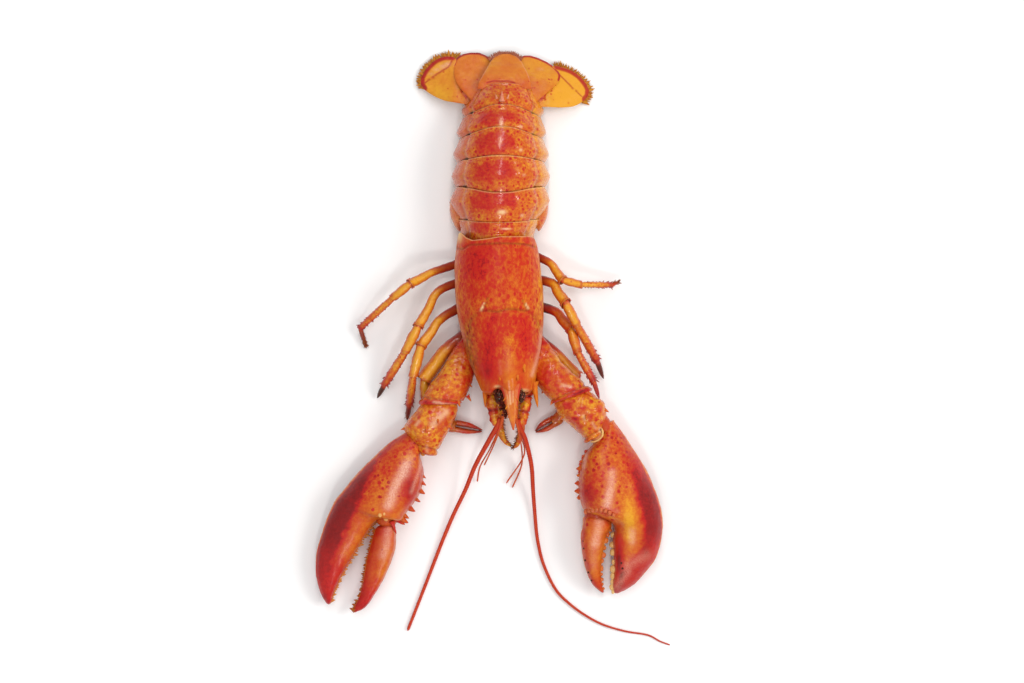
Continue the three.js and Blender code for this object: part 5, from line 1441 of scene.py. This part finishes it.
# Spots on a claw's side edge: place t along the ribs, edge -1 or 1, how far out from the edge
def edgeSpots(ribs, t, edge, out, lift=0.0):
    row = alongRows(ribs, np.asarray(t, float))
    side = unit(row[:, 3:6]) * edge
    half = np.linalg.norm(row[:, 3:6], axis=-1)
    spot = row[:, :3] + side * (half + out)[:, None]
    spot[:, 2] += lift
    return spot, side


# Saw teeth along an edge: small horns, every fourth one larger
def sawTeeth(ribs, edge, start, end, count, reach, radius, seed, **fields):
    draw = np.random.default_rng(seed)
    t = np.linspace(start, end, count) + draw.uniform(-0.3, 0.3, count) * (end - start) / count
    size = np.where(np.arange(count) % 4 == 1, 1.6, 0.9) * draw.uniform(0.7, 1.2, count)
    root, _ = edgeSpots(ribs, t, edge, np.full(count, -1.4))
    tip, _ = edgeSpots(ribs, t, edge, reach * size)
    lift = draw.uniform(-0.6, 0.6, count)
    root[:, 2] += lift
    tip[:, 2] += lift
    return horns(root, tip, radius * size ** 0.6, rings=6, around=8, taper=0.6, **fields)


# Grinding teeth along an edge: flattened knobs, their sizes listed from the hinge to the tip
def grindTeeth(ribs, edge, start, end, sizes, seed, **fields):
    draw = np.random.default_rng(seed)
    sizes = np.array(sizes)
    t = np.linspace(start, end, len(sizes)) + draw.uniform(-0.006, 0.006, len(sizes))
    out = 0.24 * sizes - 0.2 + draw.uniform(-0.2, 0.2, len(sizes))
    centre, side = edgeSpots(ribs, t, edge, out, 0.3)
    shape = sizes[:, None] * draw.uniform([0.65, 0.85, 0.7], [0.9, 1.15, 0.95], (len(sizes), 3))
    teeth = knobs(centre, side, shape, rings=14, around=18, **fields)
    teeth["points"] += 0.12 * waves(teeth["points"], 2.2, seed)[:, None]
    return teeth


# A claw part: the shell of its ribs, coloured by the band, the tip and its patches
def makeClaw(claw):
    base = edgeRibs([claw["base"]]) if claw["base"] else []
    grid, _, angle = shellGrid(base + claw["ribs"], claw["form"])
    x, y, up, edge = grid[..., 0], grid[..., 1], np.sin(angle), np.cos(angle)
    band = claw["band"]
    lineY, lineX = zip(*sorted(band["line"]))
    toneY, toneAt = zip(*sorted(band["tones"]))
    tipY, tipTone = zip(*sorted(claw["tipTone"]))
    outward = band["hand"] * (x - np.interp(y, lineY, lineX))
    outward = outward + 1.6 * waves(grid, 9, 51) + 0.6 * waves(grid, 3, 52)
    rim = smooth(np.abs(edge), 0.955, 0.982)
    inBand = smooth(outward, -2.6, 2.8) * (1 - rim)
    grid = raised(grid, 0.20 * waves(grid, 15, 53) + 0.08 * waves(grid, 3.0, 54) + 0.2 * rim - 0.3)
    tone = claw["tone"] + inBand * np.interp(y, toneY, toneAt)
    tone = tone + np.interp(y, tipY, tipTone) * (1 - 0.8 * inBand)
    tone = tone + patches(x, y, claw["patches"]) - 0.1 * rim + 0.08 * smooth(-up, 0, 0.4)
    tone = tone + claw["halo"] * bell(outward + 3.0, 3.6) + 0.06 * waves(grid, 10, 56) * (1 - inBand)
    clear = np.clip(-8 * patches(x, y, claw["patches"]), 0, 1)       # no dots on the yellow patches
    dotted = (1 - smooth(-y, -claw["dotsTo"] - 14, -claw["dotsTo"])) * (1 - 0.55 * inBand) * (1 - clear)
    # painted highlights along the glint lines and painted shadow in the shadow patches
    glint = streaks(x, y, claw["glints"]) * smooth(up, 0.1, 0.4)
    shadow = patches(x, y, claw["shadow"]) * smooth(up, 0, 0.3)
    return closeGrid(grid, tone=tone, speck=(0.9 * dotted + 0.12 * (1 - clear)) * smooth(up, -0.3, 0.2),
                     bloom=np.clip(glint, 0, 1), stain=0.08 * inBand + shadow)


# A short joint that fills the space where one piece turns in the next
def makeJoint(stations, **fields):
    grid, _, _ = limbGrid(stations, {"along": 30, "around": 32, "roundStart": 0.3, "roundEnd": 0.3})
    return closeGrid(raised(grid, 0.15 * waves(grid, 4, 55)), **fields)


# Spines along the inner edge of a palm, leaning to its tip
def palmSpines(ribs, detail, reach, forward, radius, **fields):
    places, sizes = detail["spinePlaces"], np.array(detail["spineSizes"])
    root, _ = edgeSpots(ribs, places, 1, np.full(len(sizes), -2.2), 0.8)
    tip, _ = edgeSpots(ribs, places, 1, reach * sizes, 1.6)
    tip[:, 1] -= forward
    return horns(root, tip, radius * sizes, bends=[0, -0.3, 0], rings=9, around=12, **fields)


# Dark pits: small flat knobs at places t along the inner edge, out from it and at a level
def darkPits(ribs, rows, size, stain):
    place, out, level = np.array(rows).T
    spot, _ = edgeSpots(ribs, place, 1, out)
    spot[:, 2] = level
    return knobs(spot, [[0, 0, 1]], [size], tone=1.0, stain=stain)


# Upright knobs; each row is its centre and its half sizes up, along and across
def beads(rows, **fields):
    rows = np.array(rows)
    return knobs(rows[:, :3], [[0, 0, 1]], rows[:, 3:], **fields)


# What sits on the claw parts: spines and teeth as places t and sizes, joints as stations
clawDetails = {
    "cutter_palm": {
        "spinePlaces": [0.17, 0.21, 0.25, 0.29, 0.33, 0.37, 0.41, 0.445],
        "spineSizes": [0.6, 0.8, 1.0, 0.8, 1.1, 0.9, 1.1, 0.8],
        "joint": [[-59.4, -88.0, 13, 6.0, 6.0], [-60.0, -96.0, 14, 6.0, 6.4],
                  [-60.6, -102.0, 13.4, 5.6, 6.0]],
        "hinge": [[-63.4, -94.8, 27.4, 1.0, 1.3, 1.1], [-61.0, -94.0, 27.0, 1.0, 1.2, 1.1],
                  [-58.8, -93.6, 26.2, 1.3, 1.5, 1.3], [-56.8, -93.6, 25.0, 1.1, 1.3, 1.2],
                  [-54.8, -94.0, 23.3, 1.3, 1.4, 1.3], [-52.6, -94.6, 21.0, 1.2, 1.5, 1.3],
                  [-60.2, -97.0, 22.6, 1.2, 1.4, 1.4]],
        "knuckle": [[-43.6, -61.6, 20.4, 1.5, 2.0, 1.6], [-39.4, -60.0, 16.5, 1.5, 2.0, 1.6]],
    },
    "cutter_finger": {
        "spurs": [((-57.2, -98.6, 19.0), (-54.4, -106.0, 19.0), 1.3),
                  ((-54.6, -97.6, 16.0), (-51.4, -100.6, 15.6), 1.1)],
    },
    "crusher_palm": {
        "spinePlaces": [0.18, 0.215, 0.255, 0.285, 0.32, 0.355, 0.385],
        "spineSizes": [0.8, 0.9, 1.25, 0.9, 1.1, 1.2, 0.8],
        "bumps": [1.2, 1.1, 1.6, 1.1, 1.4, 1.0, 1.3],
        "teeth": [1.7, 2.2, 2.5, 1.8, 2.4, 2.1, 1.7, 1.9, 1.4],
        "pits": [(0.66, -4.2, 22.0), (0.77, -4.0, 18.6), (0.80, -4.6, 18.2), (0.89, -2.8, 13.7)],
        "joint": [[57.6, -88.0, 15.5, 6.6, 7.0], [58.4, -94.0, 16, 6.8, 6.8],
                  [58.6, -99.0, 15.5, 6.0, 6.0]],
        "hinge": [[52.4, -93.0, 23.2, 0.9, 1.6, 1.1], [54.3, -92.6, 25.8, 1.0, 1.2, 1.1],
                  [56.4, -92.0, 28.2, 0.8, 1.5, 1.1], [58.6, -91.6, 29.9, 1.0, 1.3, 1.0],
                  [60.9, -91.6, 31.2, 0.9, 1.6, 1.1], [63.3, -92.2, 32.0, 1.1, 1.3, 1.1],
                  [65.6, -93.2, 32.2, 0.9, 1.5, 1.2], [67.8, -94.4, 32.0, 0.9, 1.2, 1.0]],
        "neck": [[56.8, -46.0, 17, 5.0, 5.0], [60.0, -50.0, 16.5, 5.6, 5.6],
                 [64.0, -55.0, 16, 6.4, 6.0]],
        "filler": [[59.6, -39.0, 17.5, 3.6, 5.0], [62.6, -43.4, 17.5, 4.0, 5.4],
                   [66.0, -50.0, 16.5, 4.6, 6.0]],
        "lip": [[61.2, -45.6, 22.4, 0.5, 0.7], [62.0, -48.6, 22.4, 0.6, 0.8],
                [61.0, -51.6, 22.0, 0.6, 0.8], [57.6, -53.6, 21.2, 0.5, 0.7],
                [54.4, -53.8, 20.4, 0.3, 0.4]],
    },
    "crusher_finger": {
        "teeth": [1.2, 1.7, 2.0, 1.4, 1.8, 1.3, 1.5, 1.1, 1.2, 0.9, 0.8],
        "pits": [(0.34, -1.5, 19.2), (0.42, -1.3, 18.4), (0.55, -1.1, 16.0), (0.68, -1.0, 13.6),
                 (0.78, -0.8, 11.8)],
    },
}


def makeCutterPalm(claw, detail):
    ribs = claw["ribs"]
    return [makeClaw(claw),
            palmSpines(ribs, detail, 2.4, 1.6, 1.9, tone=0.45, speck=0.4),
            sawTeeth(ribs, 1, 0.55, 0.975, 46, 1.3, 0.85, 61, tone=0.2, stain=0.16, cream=0.12),
            makeJoint(detail["joint"], tone=0.42, stain=0.05),
            beads(detail["hinge"], tone=0.16, cream=0.35),
            beads(detail["knuckle"], tone=0.12, cream=0.1)]


def makeCrusherPalm(claw, detail):
    ribs = claw["ribs"]
    return [makeClaw(claw),
            palmSpines(ribs, detail, 1.9, 0.5, 2.1, tone=0.40, speck=0.5),
            grindTeeth(ribs, 1, 0.165, 0.39, detail["bumps"], 65, tone=0.66, bloom=0.06),
            grindTeeth(ribs, 1, 0.64, 0.985, detail["teeth"], 63, tone=0.08, cream=0.62, stain=0.03),
            darkPits(ribs, detail["pits"], [0.5, 0.7, 0.6], 0.95),
            makeJoint(detail["joint"], tone=0.55, stain=0.2),
            beads(detail["hinge"], tone=0.5, cream=0.12),
            makeJoint(detail["neck"], tone=0.4, cream=0.2, stain=0.1),
            makeJoint(detail["filler"], tone=0.5, stain=0.1),
            makeJoint(detail["lip"], tone=0.12, cream=0.55)]


def makeCutterFinger(claw, detail):
    roots, tips, radii = zip(*detail["spurs"])
    return [makeClaw(claw),
            sawTeeth(claw["ribs"], -1, 0.08, 0.96, 50, 1.15, 0.8, 62, tone=0.25, stain=0.42),
            horns(roots, tips, radii, tone=0.66)]


def makeCrusherFinger(claw, detail):
    return [makeClaw(claw),
            grindTeeth(claw["ribs"], -1, 0.2, 0.93, detail["teeth"], 64, tone=0.36, cream=0.08),
            darkPits(claw["ribs"], detail["pits"], [0.5, 0.6, 0.6], 0.9)]


clawMakers = {"cutter_palm": makeCutterPalm, "cutter_finger": makeCutterFinger,
              "crusher_palm": makeCrusherPalm, "crusher_finger": makeCrusherFinger}
for name, maker in clawMakers.items():
    addPiece(name + "Shell", maker(claws[name], clawDetails[name]), "clawShell", "shell_red", name)
print("claws ready")


# Feelers with their bases, small feelers and mouth legs

feelers = {
    "antenna_right": {
        "path": [[4.4, -40.2, 28.0], [2.0, -45.8, 25.6], [-2.0, -52.7, 20.4], [-9.8, -67.1, 12.5],
                 [-15.7, -81.5, 7],
                 [-22.6, -95.9, 3.6], [-28.6, -110.2, 2.2], [-34.1, -124.4, 1.9], [-39.6, -138.7, 1.7],
                 [-48.7, -162.0, 1.5]],
        "thick": (1.7, 0.9), "along": 520,
    },
    "antenna_left": {
        "path": [[13.9, -40.6, 27.8], [15.6, -46.6, 25.4], [18.4, -52.7, 20], [21.8, -67.1, 12.5],
                 [22.8, -81.5, 6],
                 [23.9, -95.9, 3], [25.4, -110.2, 2], [28.9, -124.4, 1.6], [35.6, -138.2, 1.5],
                 [43.2, -146.2, 1.4], [52.4, -153.0, 1.3], [62.6, -158.4, 1.2], [75.2, -162.2, 1.0],
                 [88.1, -164.4, 0.8], [95.2, -168.0, 0.7], [100.9, -170.1, 0.6]],
        "thick": (1.7, 0.4), "along": 700,
    },
}
feelerBases = {
    "antenna_base_right": [[-0.6, -20.5, 22.5, 3.2, 3.4], [-0.4, -31, 24.5, 3.4, 3.4],
                           [2.0, -44.6, 25.6, 2.6, 2.6]],
    "antenna_base_left": [[19.2, -20.5, 22.5, 3.2, 3.4], [18.4, -32, 24.5, 3.2, 3.4],
                          [15.8, -45.2, 25.6, 2.5, 2.6]],
}
smallFeelers = {
    "antennule_right": [
        [[6.4, -29, 30.5], [5.6, -40, 30.4], [1.6, -53, 19], [-5, -67.5, 8]],
        [[6.4, -29, 30.5], [5.4, -41, 29.8], [-1.2, -57, 14.5], [-7.2, -68, 6], [-9, -77, 1.5]]],
    "antennule_left": [
        [[13.2, -29, 30.5], [13.0, -40, 31.2], [14.6, -48, 28], [17.8, -61, 9], [7.5, -78, 1.5]],
        [[13.2, -29, 30.5], [13.2, -41, 31.2], [15.0, -49, 26.5], [16.5, -66, 5], [11, -80.5, 1]]],
}
mouthLegs = {
    "maxilliped_right": [[3.4, -16, 7, 2.6, 2.4], [3.6, -34, 9, 2.6, 2.4], [4.0, -46, 10, 2.3, 2.2],
                         [6.4, -53, 8.4, 1.7, 1.7], [10.2, -56.6, 7, 0.9, 0.9]],
    "maxilliped_left": [[15.2, -16, 7, 2.6, 2.4], [15.4, -34, 9, 2.6, 2.4], [16.0, -47, 10, 2.2, 2.2],
                        [14.6, -53.6, 8.4, 1.7, 1.7], [12.0, -57.8, 7, 0.9, 0.9]],
}


# A feeler: a tube whose radius beats once for each of its fine rings
def makeFeeler(feeler):
    last = len(feeler["path"]) - 1
    first, end = feeler["thick"]
    stations = [station(point, first + (end - first) * (i / last) ** 0.7)
                for i, point in enumerate(feeler["path"])]
    beats = feeler["along"] / 4
    form = {"along": feeler["along"], "around": 12, "crowd": 0, "roundStart": 0.005, "roundEnd": 0.01}
    grid, t, angle = limbGrid(stations, form, lambda t: 0.97 + 0.05 * np.cos(2 * np.pi * t * beats))
    grid[..., 2] = np.maximum(grid[..., 2], 0.0)
    groove = 0.5 - 0.5 * np.cos(2 * np.pi * t * beats)
    # lighter along the middle and redder at the sides: painted highlight and shade along the tube; the dark
    # rings are its own
    tone = 0.46 + 0.12 * groove + 0.34 * np.cos(angle) ** 2
    return [closeGrid(grid, tone=tone, stain=0.10 * groove)]


# A feeler's base: a lumpy limb, narrow at its two joints, with five small spines
def makeFeelerBase(name, stations):
    hand = -1 if name.endswith("right") else 1
    joints = (0.34, 0.68)
    form = {"along": 100, "around": 40, "roundStart": 0.1, "roundEnd": 0.1}
    grid, t, angle = limbGrid(stations, form, lambda t: 1 - sum(0.17 * bell(t - j, 0.03) for j in joints)
                              + sum(0.1 * bell(t - j + 0.09, 0.05) for j in joints))
    grid = raised(grid, 0.34 * waves(grid, 3.4, 71) + 0.12 * waves(grid, 1.4, 74))
    seam = sum(bell(t - j, 0.03) for j in joints)
    row = alongRows(stations, np.array([0.26, 0.44, 0.6, 0.64, 0.85]))
    outward = np.array([[hand, -0.9, 0.2], [hand, -0.6, 0.3], [-hand * 0.8, -1, 0.4], [hand, -1.2, 0.2],
                        [hand, -1, 0.3]])
    root = row[:, :3] + unit(outward) * 1.8
    tip = root + unit(outward) * [[3.0], [2.2], [2.0], [2.6], [1.6]]
    red = 0.3 * waves(grid, 5, 76) + 0.35 * smooth(-hand * np.cos(angle), 0.2, 0.9)
    return [closeGrid(grid, tone=0.18 + 0.35 * seam + red, speck=0.45, stain=0.35 * seam),
            horns(root, tip, 0.95, tone=0.26)]


# A small feeler: two thin ringed tubes from one root
def makeSmallFeeler(branches):
    made = []
    for path in branches:
        last = len(path) - 1
        stations = [station(point, 1.3 - 0.85 * min(1, i / last * 2)) for i, point in enumerate(path)]
        form = {"along": 200, "around": 10, "crowd": 0, "roundStart": 0.04, "roundEnd": 0.02}
        grid, t, _ = limbGrid(stations, form, lambda t: 0.97 + 0.05 * np.cos(2 * np.pi * t * 50))
        made.append(closeGrid(grid, tone=0.45))
    return made


# Stiff brown hairs on the inner side of a mouth leg
def makeMouthHairs(stations, hand, count=140):
    draw = np.random.default_rng(73)
    row = alongRows(stations, np.linspace(0.35, 0.97, count))
    inward = np.stack([hand + draw.normal(0, 0.25, count), draw.normal(-0.6, 0.3, count),
                       draw.normal(0, 0.4, count)], -1)
    root = row[:, :3] + unit(inward) * row[:, 3:4] * 0.8
    tip = root + unit(inward) * draw.uniform(1.2, 2.6, (count, 1))
    return horns(root, tip, 0.2, rings=3, around=5, flare=0, tone=0.4, stain=0.7)


# A mouth leg: a limb, narrow at two joints, with hairs on its inner side
def makeMouthLeg(name, stations):
    hand = 1 if name.endswith("right") else -1
    form = {"along": 90, "around": 36, "roundStart": 0.08, "roundEnd": 0.1}
    grid, _, _ = limbGrid(stations, form, lambda t: 1 - 0.14 * bell(t - 0.55, 0.03)
                          - 0.14 * bell(t - 0.78, 0.03))
    grid = raised(grid, 0.15 * waves(grid, 4, 72))
    return [closeGrid(grid, tone=0.24 + 0.2 * waves(grid, 6, 77), speck=0.5),
            makeMouthHairs(stations, hand)]


for name, feeler in feelers.items():
    addPiece(name + "Whip", makeFeeler(feeler), "feelerShell", "feeler_red", name)
for name, stations in feelerBases.items():
    addPiece(name + "Shell", makeFeelerBase(name, stations), "armShell", "shell_orange", name)
for name, branches in smallFeelers.items():
    addPiece(name + "Whip", makeSmallFeeler(branches), "feelerShell", "feeler_red", name)
for name, stations in mouthLegs.items():
    addPiece(name + "Shell", makeMouthLeg(name, stations), "armShell", "soft_under", name)
print("head parts ready")


# Bristles: gold brown tufts on the outer fan plates, a short fringe on the telson, and dark
# spines and hairs on the feet

tufts = {
    "length": (2.8, 5.0),
    "radius": 1.25,
    "level": 1.9,
    # each rim: middle of the plate, stops along its edge, tufts
    "rims": [((-27.0, 149.0), [(-20.5, 163.8), (-27.1, 164.4), (-31.8, 162.3), (-36.4, 158.7),
                               (-39.6, 154.7), (-40.4, 150.4), (-38.8, 147.4)], 20),
             ((38.0, 143.0), [(35.6, 159.0), (41.0, 157.4), (45.7, 154.7), (50.5, 150.6),
                              (53.4, 146.2), (53.4, 142.6), (51.2, 139.6)], 20)],
}
telsonFringe = {"count": 340, "length": (2.0, 3.4), "middle": (7.2, 165.4, 5.2), "half": 8.8}
footSpines = {"pairs": 11, "length": (1.0, 1.8), "radius": 0.42}
tipHairs = {"leg_5_right": 120, "leg_5_left": 70, "leg_3_right": 24}


# Tufts along a plate's rim: each a thick wedge with a few hairs beside it
def makeTufts():
    draw = np.random.default_rng(81)
    made = []
    for middle, stops, count in tufts["rims"]:
        stops = np.array(stops)
        run = np.concatenate([[0], np.cumsum(np.hypot(*np.diff(stops, axis=0).T))])
        for perTuft, spread, radius, times in ((1, 0.2, tufts["radius"], 1.0), (9, 0.8, 0.5, 0.85)):
            many = count * perTuft
            place = np.repeat(np.linspace(0, run[-1], count), perTuft) + draw.normal(0, spread, many)
            root = np.stack([np.interp(place, run, stops[:, 0]), np.interp(place, run, stops[:, 1]),
                             tufts["level"] + draw.normal(0, 0.3, many)], -1)
            out = unit((root - [*middle, 0]) * [1, 1, 0])
            aim = unit(out + draw.normal(0, 0.1 + spread * 0.2, out.shape) * [1, 1, 0.4])
            length = draw.uniform(*tufts["length"], (many, 1)) * times
            made.append(horns(root - aim * 0.3, root + aim * length, radius, rings=5, around=8, flare=0,
                              taper=0.8, tone=0.1, stain=0.26 + 0.1 * (perTuft > 1)))
    return made


# Short hairs along the telson's rounded edge, fanning out from its middle
def makeTelsonFringe():
    draw = np.random.default_rng(83)
    count = telsonFringe["count"]
    x = draw.uniform(-1, 1, count)
    middleX, middleY, level = telsonFringe["middle"]
    root = np.stack([middleX + telsonFringe["half"] * x, middleY - 3.4 * np.abs(x) ** 2.4,
                     level + 1.6 * np.abs(x)], -1)
    aim = unit(np.stack([0.6 * x, np.ones_like(x), draw.normal(-0.1, 0.2, count)], -1))
    length = draw.uniform(*telsonFringe["length"], (count, 1))
    return horns(root - aim * 0.5, root + aim * length, 0.27, rings=3, around=5, flare=0,
                 tone=0.4, bloom=0.45, stain=0.4)


# Spines in pairs along each foot, leaning to the tip
def makeFootSpines():
    draw = np.random.default_rng(82)
    made = []
    for name, route in legRoutes.items():
        if name.startswith("leg_2"):
            continue
        wrist, heel = (np.array(p, float) for p in route["path"][3:5])
        foot = route["thick"][2]
        many = footSpines["pairs"] * 2
        s = np.repeat(np.linspace(0.12, 0.98, many // 2), 2) + draw.uniform(-0.04, 0.04, many)
        forward = unit(heel - wrist)
        side = unit(np.array([forward[1], -forward[0], 0]))
        hand = np.tile([-1.0, 1.0], many // 2)[:, None]
        root = wrist + (heel - wrist) * s[:, None] + side * hand * foot * 0.8
        root[:, 2] += draw.uniform(-0.5, 0.9, many) * foot * 0.5
        aim = unit(side * hand + forward * 1.3 + draw.normal(0, 0.3, (many, 3)))
        length = draw.uniform(*footSpines["length"], (many, 1)) * (0.4 + 0.8 * s[:, None])
        made.append(horns(root, root + aim * length, footSpines["radius"], rings=5, around=6, flare=0,
                          tone=0.7, stain=0.5))
    return made


# Hairs round the last joint of the legs that have them, kept off the table
def makeTipHairs():
    draw = np.random.default_rng(84)
    made = []
    for name, many in tipHairs.items():
        heel, tip = (np.array(p, float) for p in legRoutes[name]["path"][4:6])
        claw = legRoutes[name]["thick"][3]
        forward = unit(tip - heel)
        side = unit(np.array([forward[1], -forward[0], 0]))
        turn = draw.uniform(0, 2 * np.pi, many)[:, None]
        out = side * np.cos(turn) + np.cross(side, forward) * np.sin(turn)
        root = heel + (tip - heel) * draw.uniform(0.0, 0.9, (many, 1)) + out * claw * 0.7
        aim = unit(out * 0.6 + forward + draw.normal(0, 0.15, (many, 3)))
        end = root + aim * draw.uniform(1.0, 2.2, (many, 1))
        end[:, 2] = np.maximum(end[:, 2], 0.3)
        made.append(horns(root, end, 0.24, rings=3, around=5, flare=0, tone=0.3, stain=0.6))
    return made


addPiece("fanTufts", [*makeTufts(), makeTelsonFringe()], "bristleHair", "soft_under")
addPiece("footSpines", [*makeFootSpines(), *makeTipHairs()], "bristleHair", "soft_under")
print("bristles ready")


# Floor, light and camera

floorLook = {"reach": 6.0, "shades": (0.94, 0.96), "roughness": 0.7}

# Each lamp: place, what it looks at, size, power, colour and whether the shell mirrors it
lamps = {
    "keyLamp": {"place": (1.9, 0.15, 1.7), "aim": (0.01, 0.0, 0.0), "size": (1.3, 1.3), "power": 30,
                "colour": (1, 0.985, 0.965), "mirrored": False},
    "topLamp": {"place": (0.01, 0.0, 2.5), "aim": (0.01, 0.0, 0.0), "size": (2.2, 2.2), "power": 12,
                "colour": (1, 1, 1), "mirrored": False},
    "stripLamp": {"place": (0.012, 1.14, 1.6), "aim": (0.011, 0.06, 0.0), "size": (0.10, 2.1), "power": 9,
                  "colour": (1, 1, 1), "mirrored": True},
    "glintLamp": {"place": (1.35, 0.35, 1.45), "aim": (0.0, 0.05, 0.0), "size": (0.12, 0.12), "power": 1.6,
                  "colour": (1, 0.97, 0.9), "mirrored": True},
    "headLamp": {"place": (0.06, -1.0, 1.65), "aim": (0.01, 0.05, 0.0), "size": (0.22, 0.22), "power": 5,
                 "colour": (1, 0.99, 0.97), "mirrored": True},
    "fillLamp": {"place": (-1.6, -0.9, 1.3), "aim": (0.0, 0.0, 0.0), "size": (1.4, 1.4), "power": 5,
                 "colour": (0.97, 0.98, 1), "mirrored": False},
}
worldStrength = 0.41


def makeFloor():
    reach = floorLook["reach"]
    corners = [(-reach, -reach, 0), (reach, -reach, 0), (reach, reach, 0), (-reach, reach, 0)]
    mesh = bpy.data.meshes.new("floor")
    mesh.from_pydata(corners, [], [(0, 1, 2, 3)])
    material = bpy.data.materials.new("paleFloor")
    material.use_nodes = True
    shader = material.node_tree.nodes["Principled BSDF"]
    book = NodeBook(material.node_tree)
    cloud = book.noise(book.add("TexCoord").outputs["Object"], 3.0)
    dark, light = floorLook["shades"]
    shade = book.mix(cloud, (dark, dark, dark, 1), (light, light, light, 1))
    book.feed(shade, shader.inputs["Base Color"])
    shader.inputs["Roughness"].default_value = floorLook["roughness"]
    shader.inputs["Specular IOR Level"].default_value = 0.2
    mesh.materials.append(material)
    floor = bpy.data.objects.new("floor", mesh)
    bpy.context.scene.collection.objects.link(floor)


def makeLamps():
    for name, lamp in lamps.items():
        data = bpy.data.lights.new(name, "AREA")
        data.shape = "RECTANGLE"
        data.size, data.size_y = lamp["size"]
        data.energy = lamp["power"]
        data.color = lamp["colour"]
        thing = bpy.data.objects.new(name, data)
        thing.location = lamp["place"]
        look = Vector(lamp["aim"]) - Vector(lamp["place"])
        thing.rotation_euler = look.to_track_quat("-Z", "Y").to_euler()
        thing.visible_glossy = lamp["mirrored"]
        bpy.context.scene.collection.objects.link(thing)
    world = bpy.data.worlds.new("studio")
    world.use_nodes = True
    world.node_tree.nodes["Background"].inputs[0].default_value = (1, 1, 1, 1)
    world.node_tree.nodes["Background"].inputs[1].default_value = worldStrength
    bpy.context.scene.world = world


# The camera hangs straight above the lobster; the photo's frame is 583.7 mm wide at the table
view = {"place": (0.01083, 0.00285, 2.0), "frameWidth": 0.5837, "sensor": 36.0}


def makeCamera():
    data = bpy.data.cameras.new("photoCamera")
    data.sensor_width = view["sensor"]
    data.lens = view["sensor"] * view["place"][2] / view["frameWidth"]
    camera = bpy.data.objects.new("photoCamera", data)
    camera.location = view["place"]
    bpy.context.scene.collection.objects.link(camera)
    bpy.context.scene.camera = camera


makeFloor()
makeLamps()
makeCamera()
bpy.context.scene.view_settings.view_transform = "Standard"

print("triangles", sum(count for _, count in madePieces), "in", len(madePieces), "pieces")
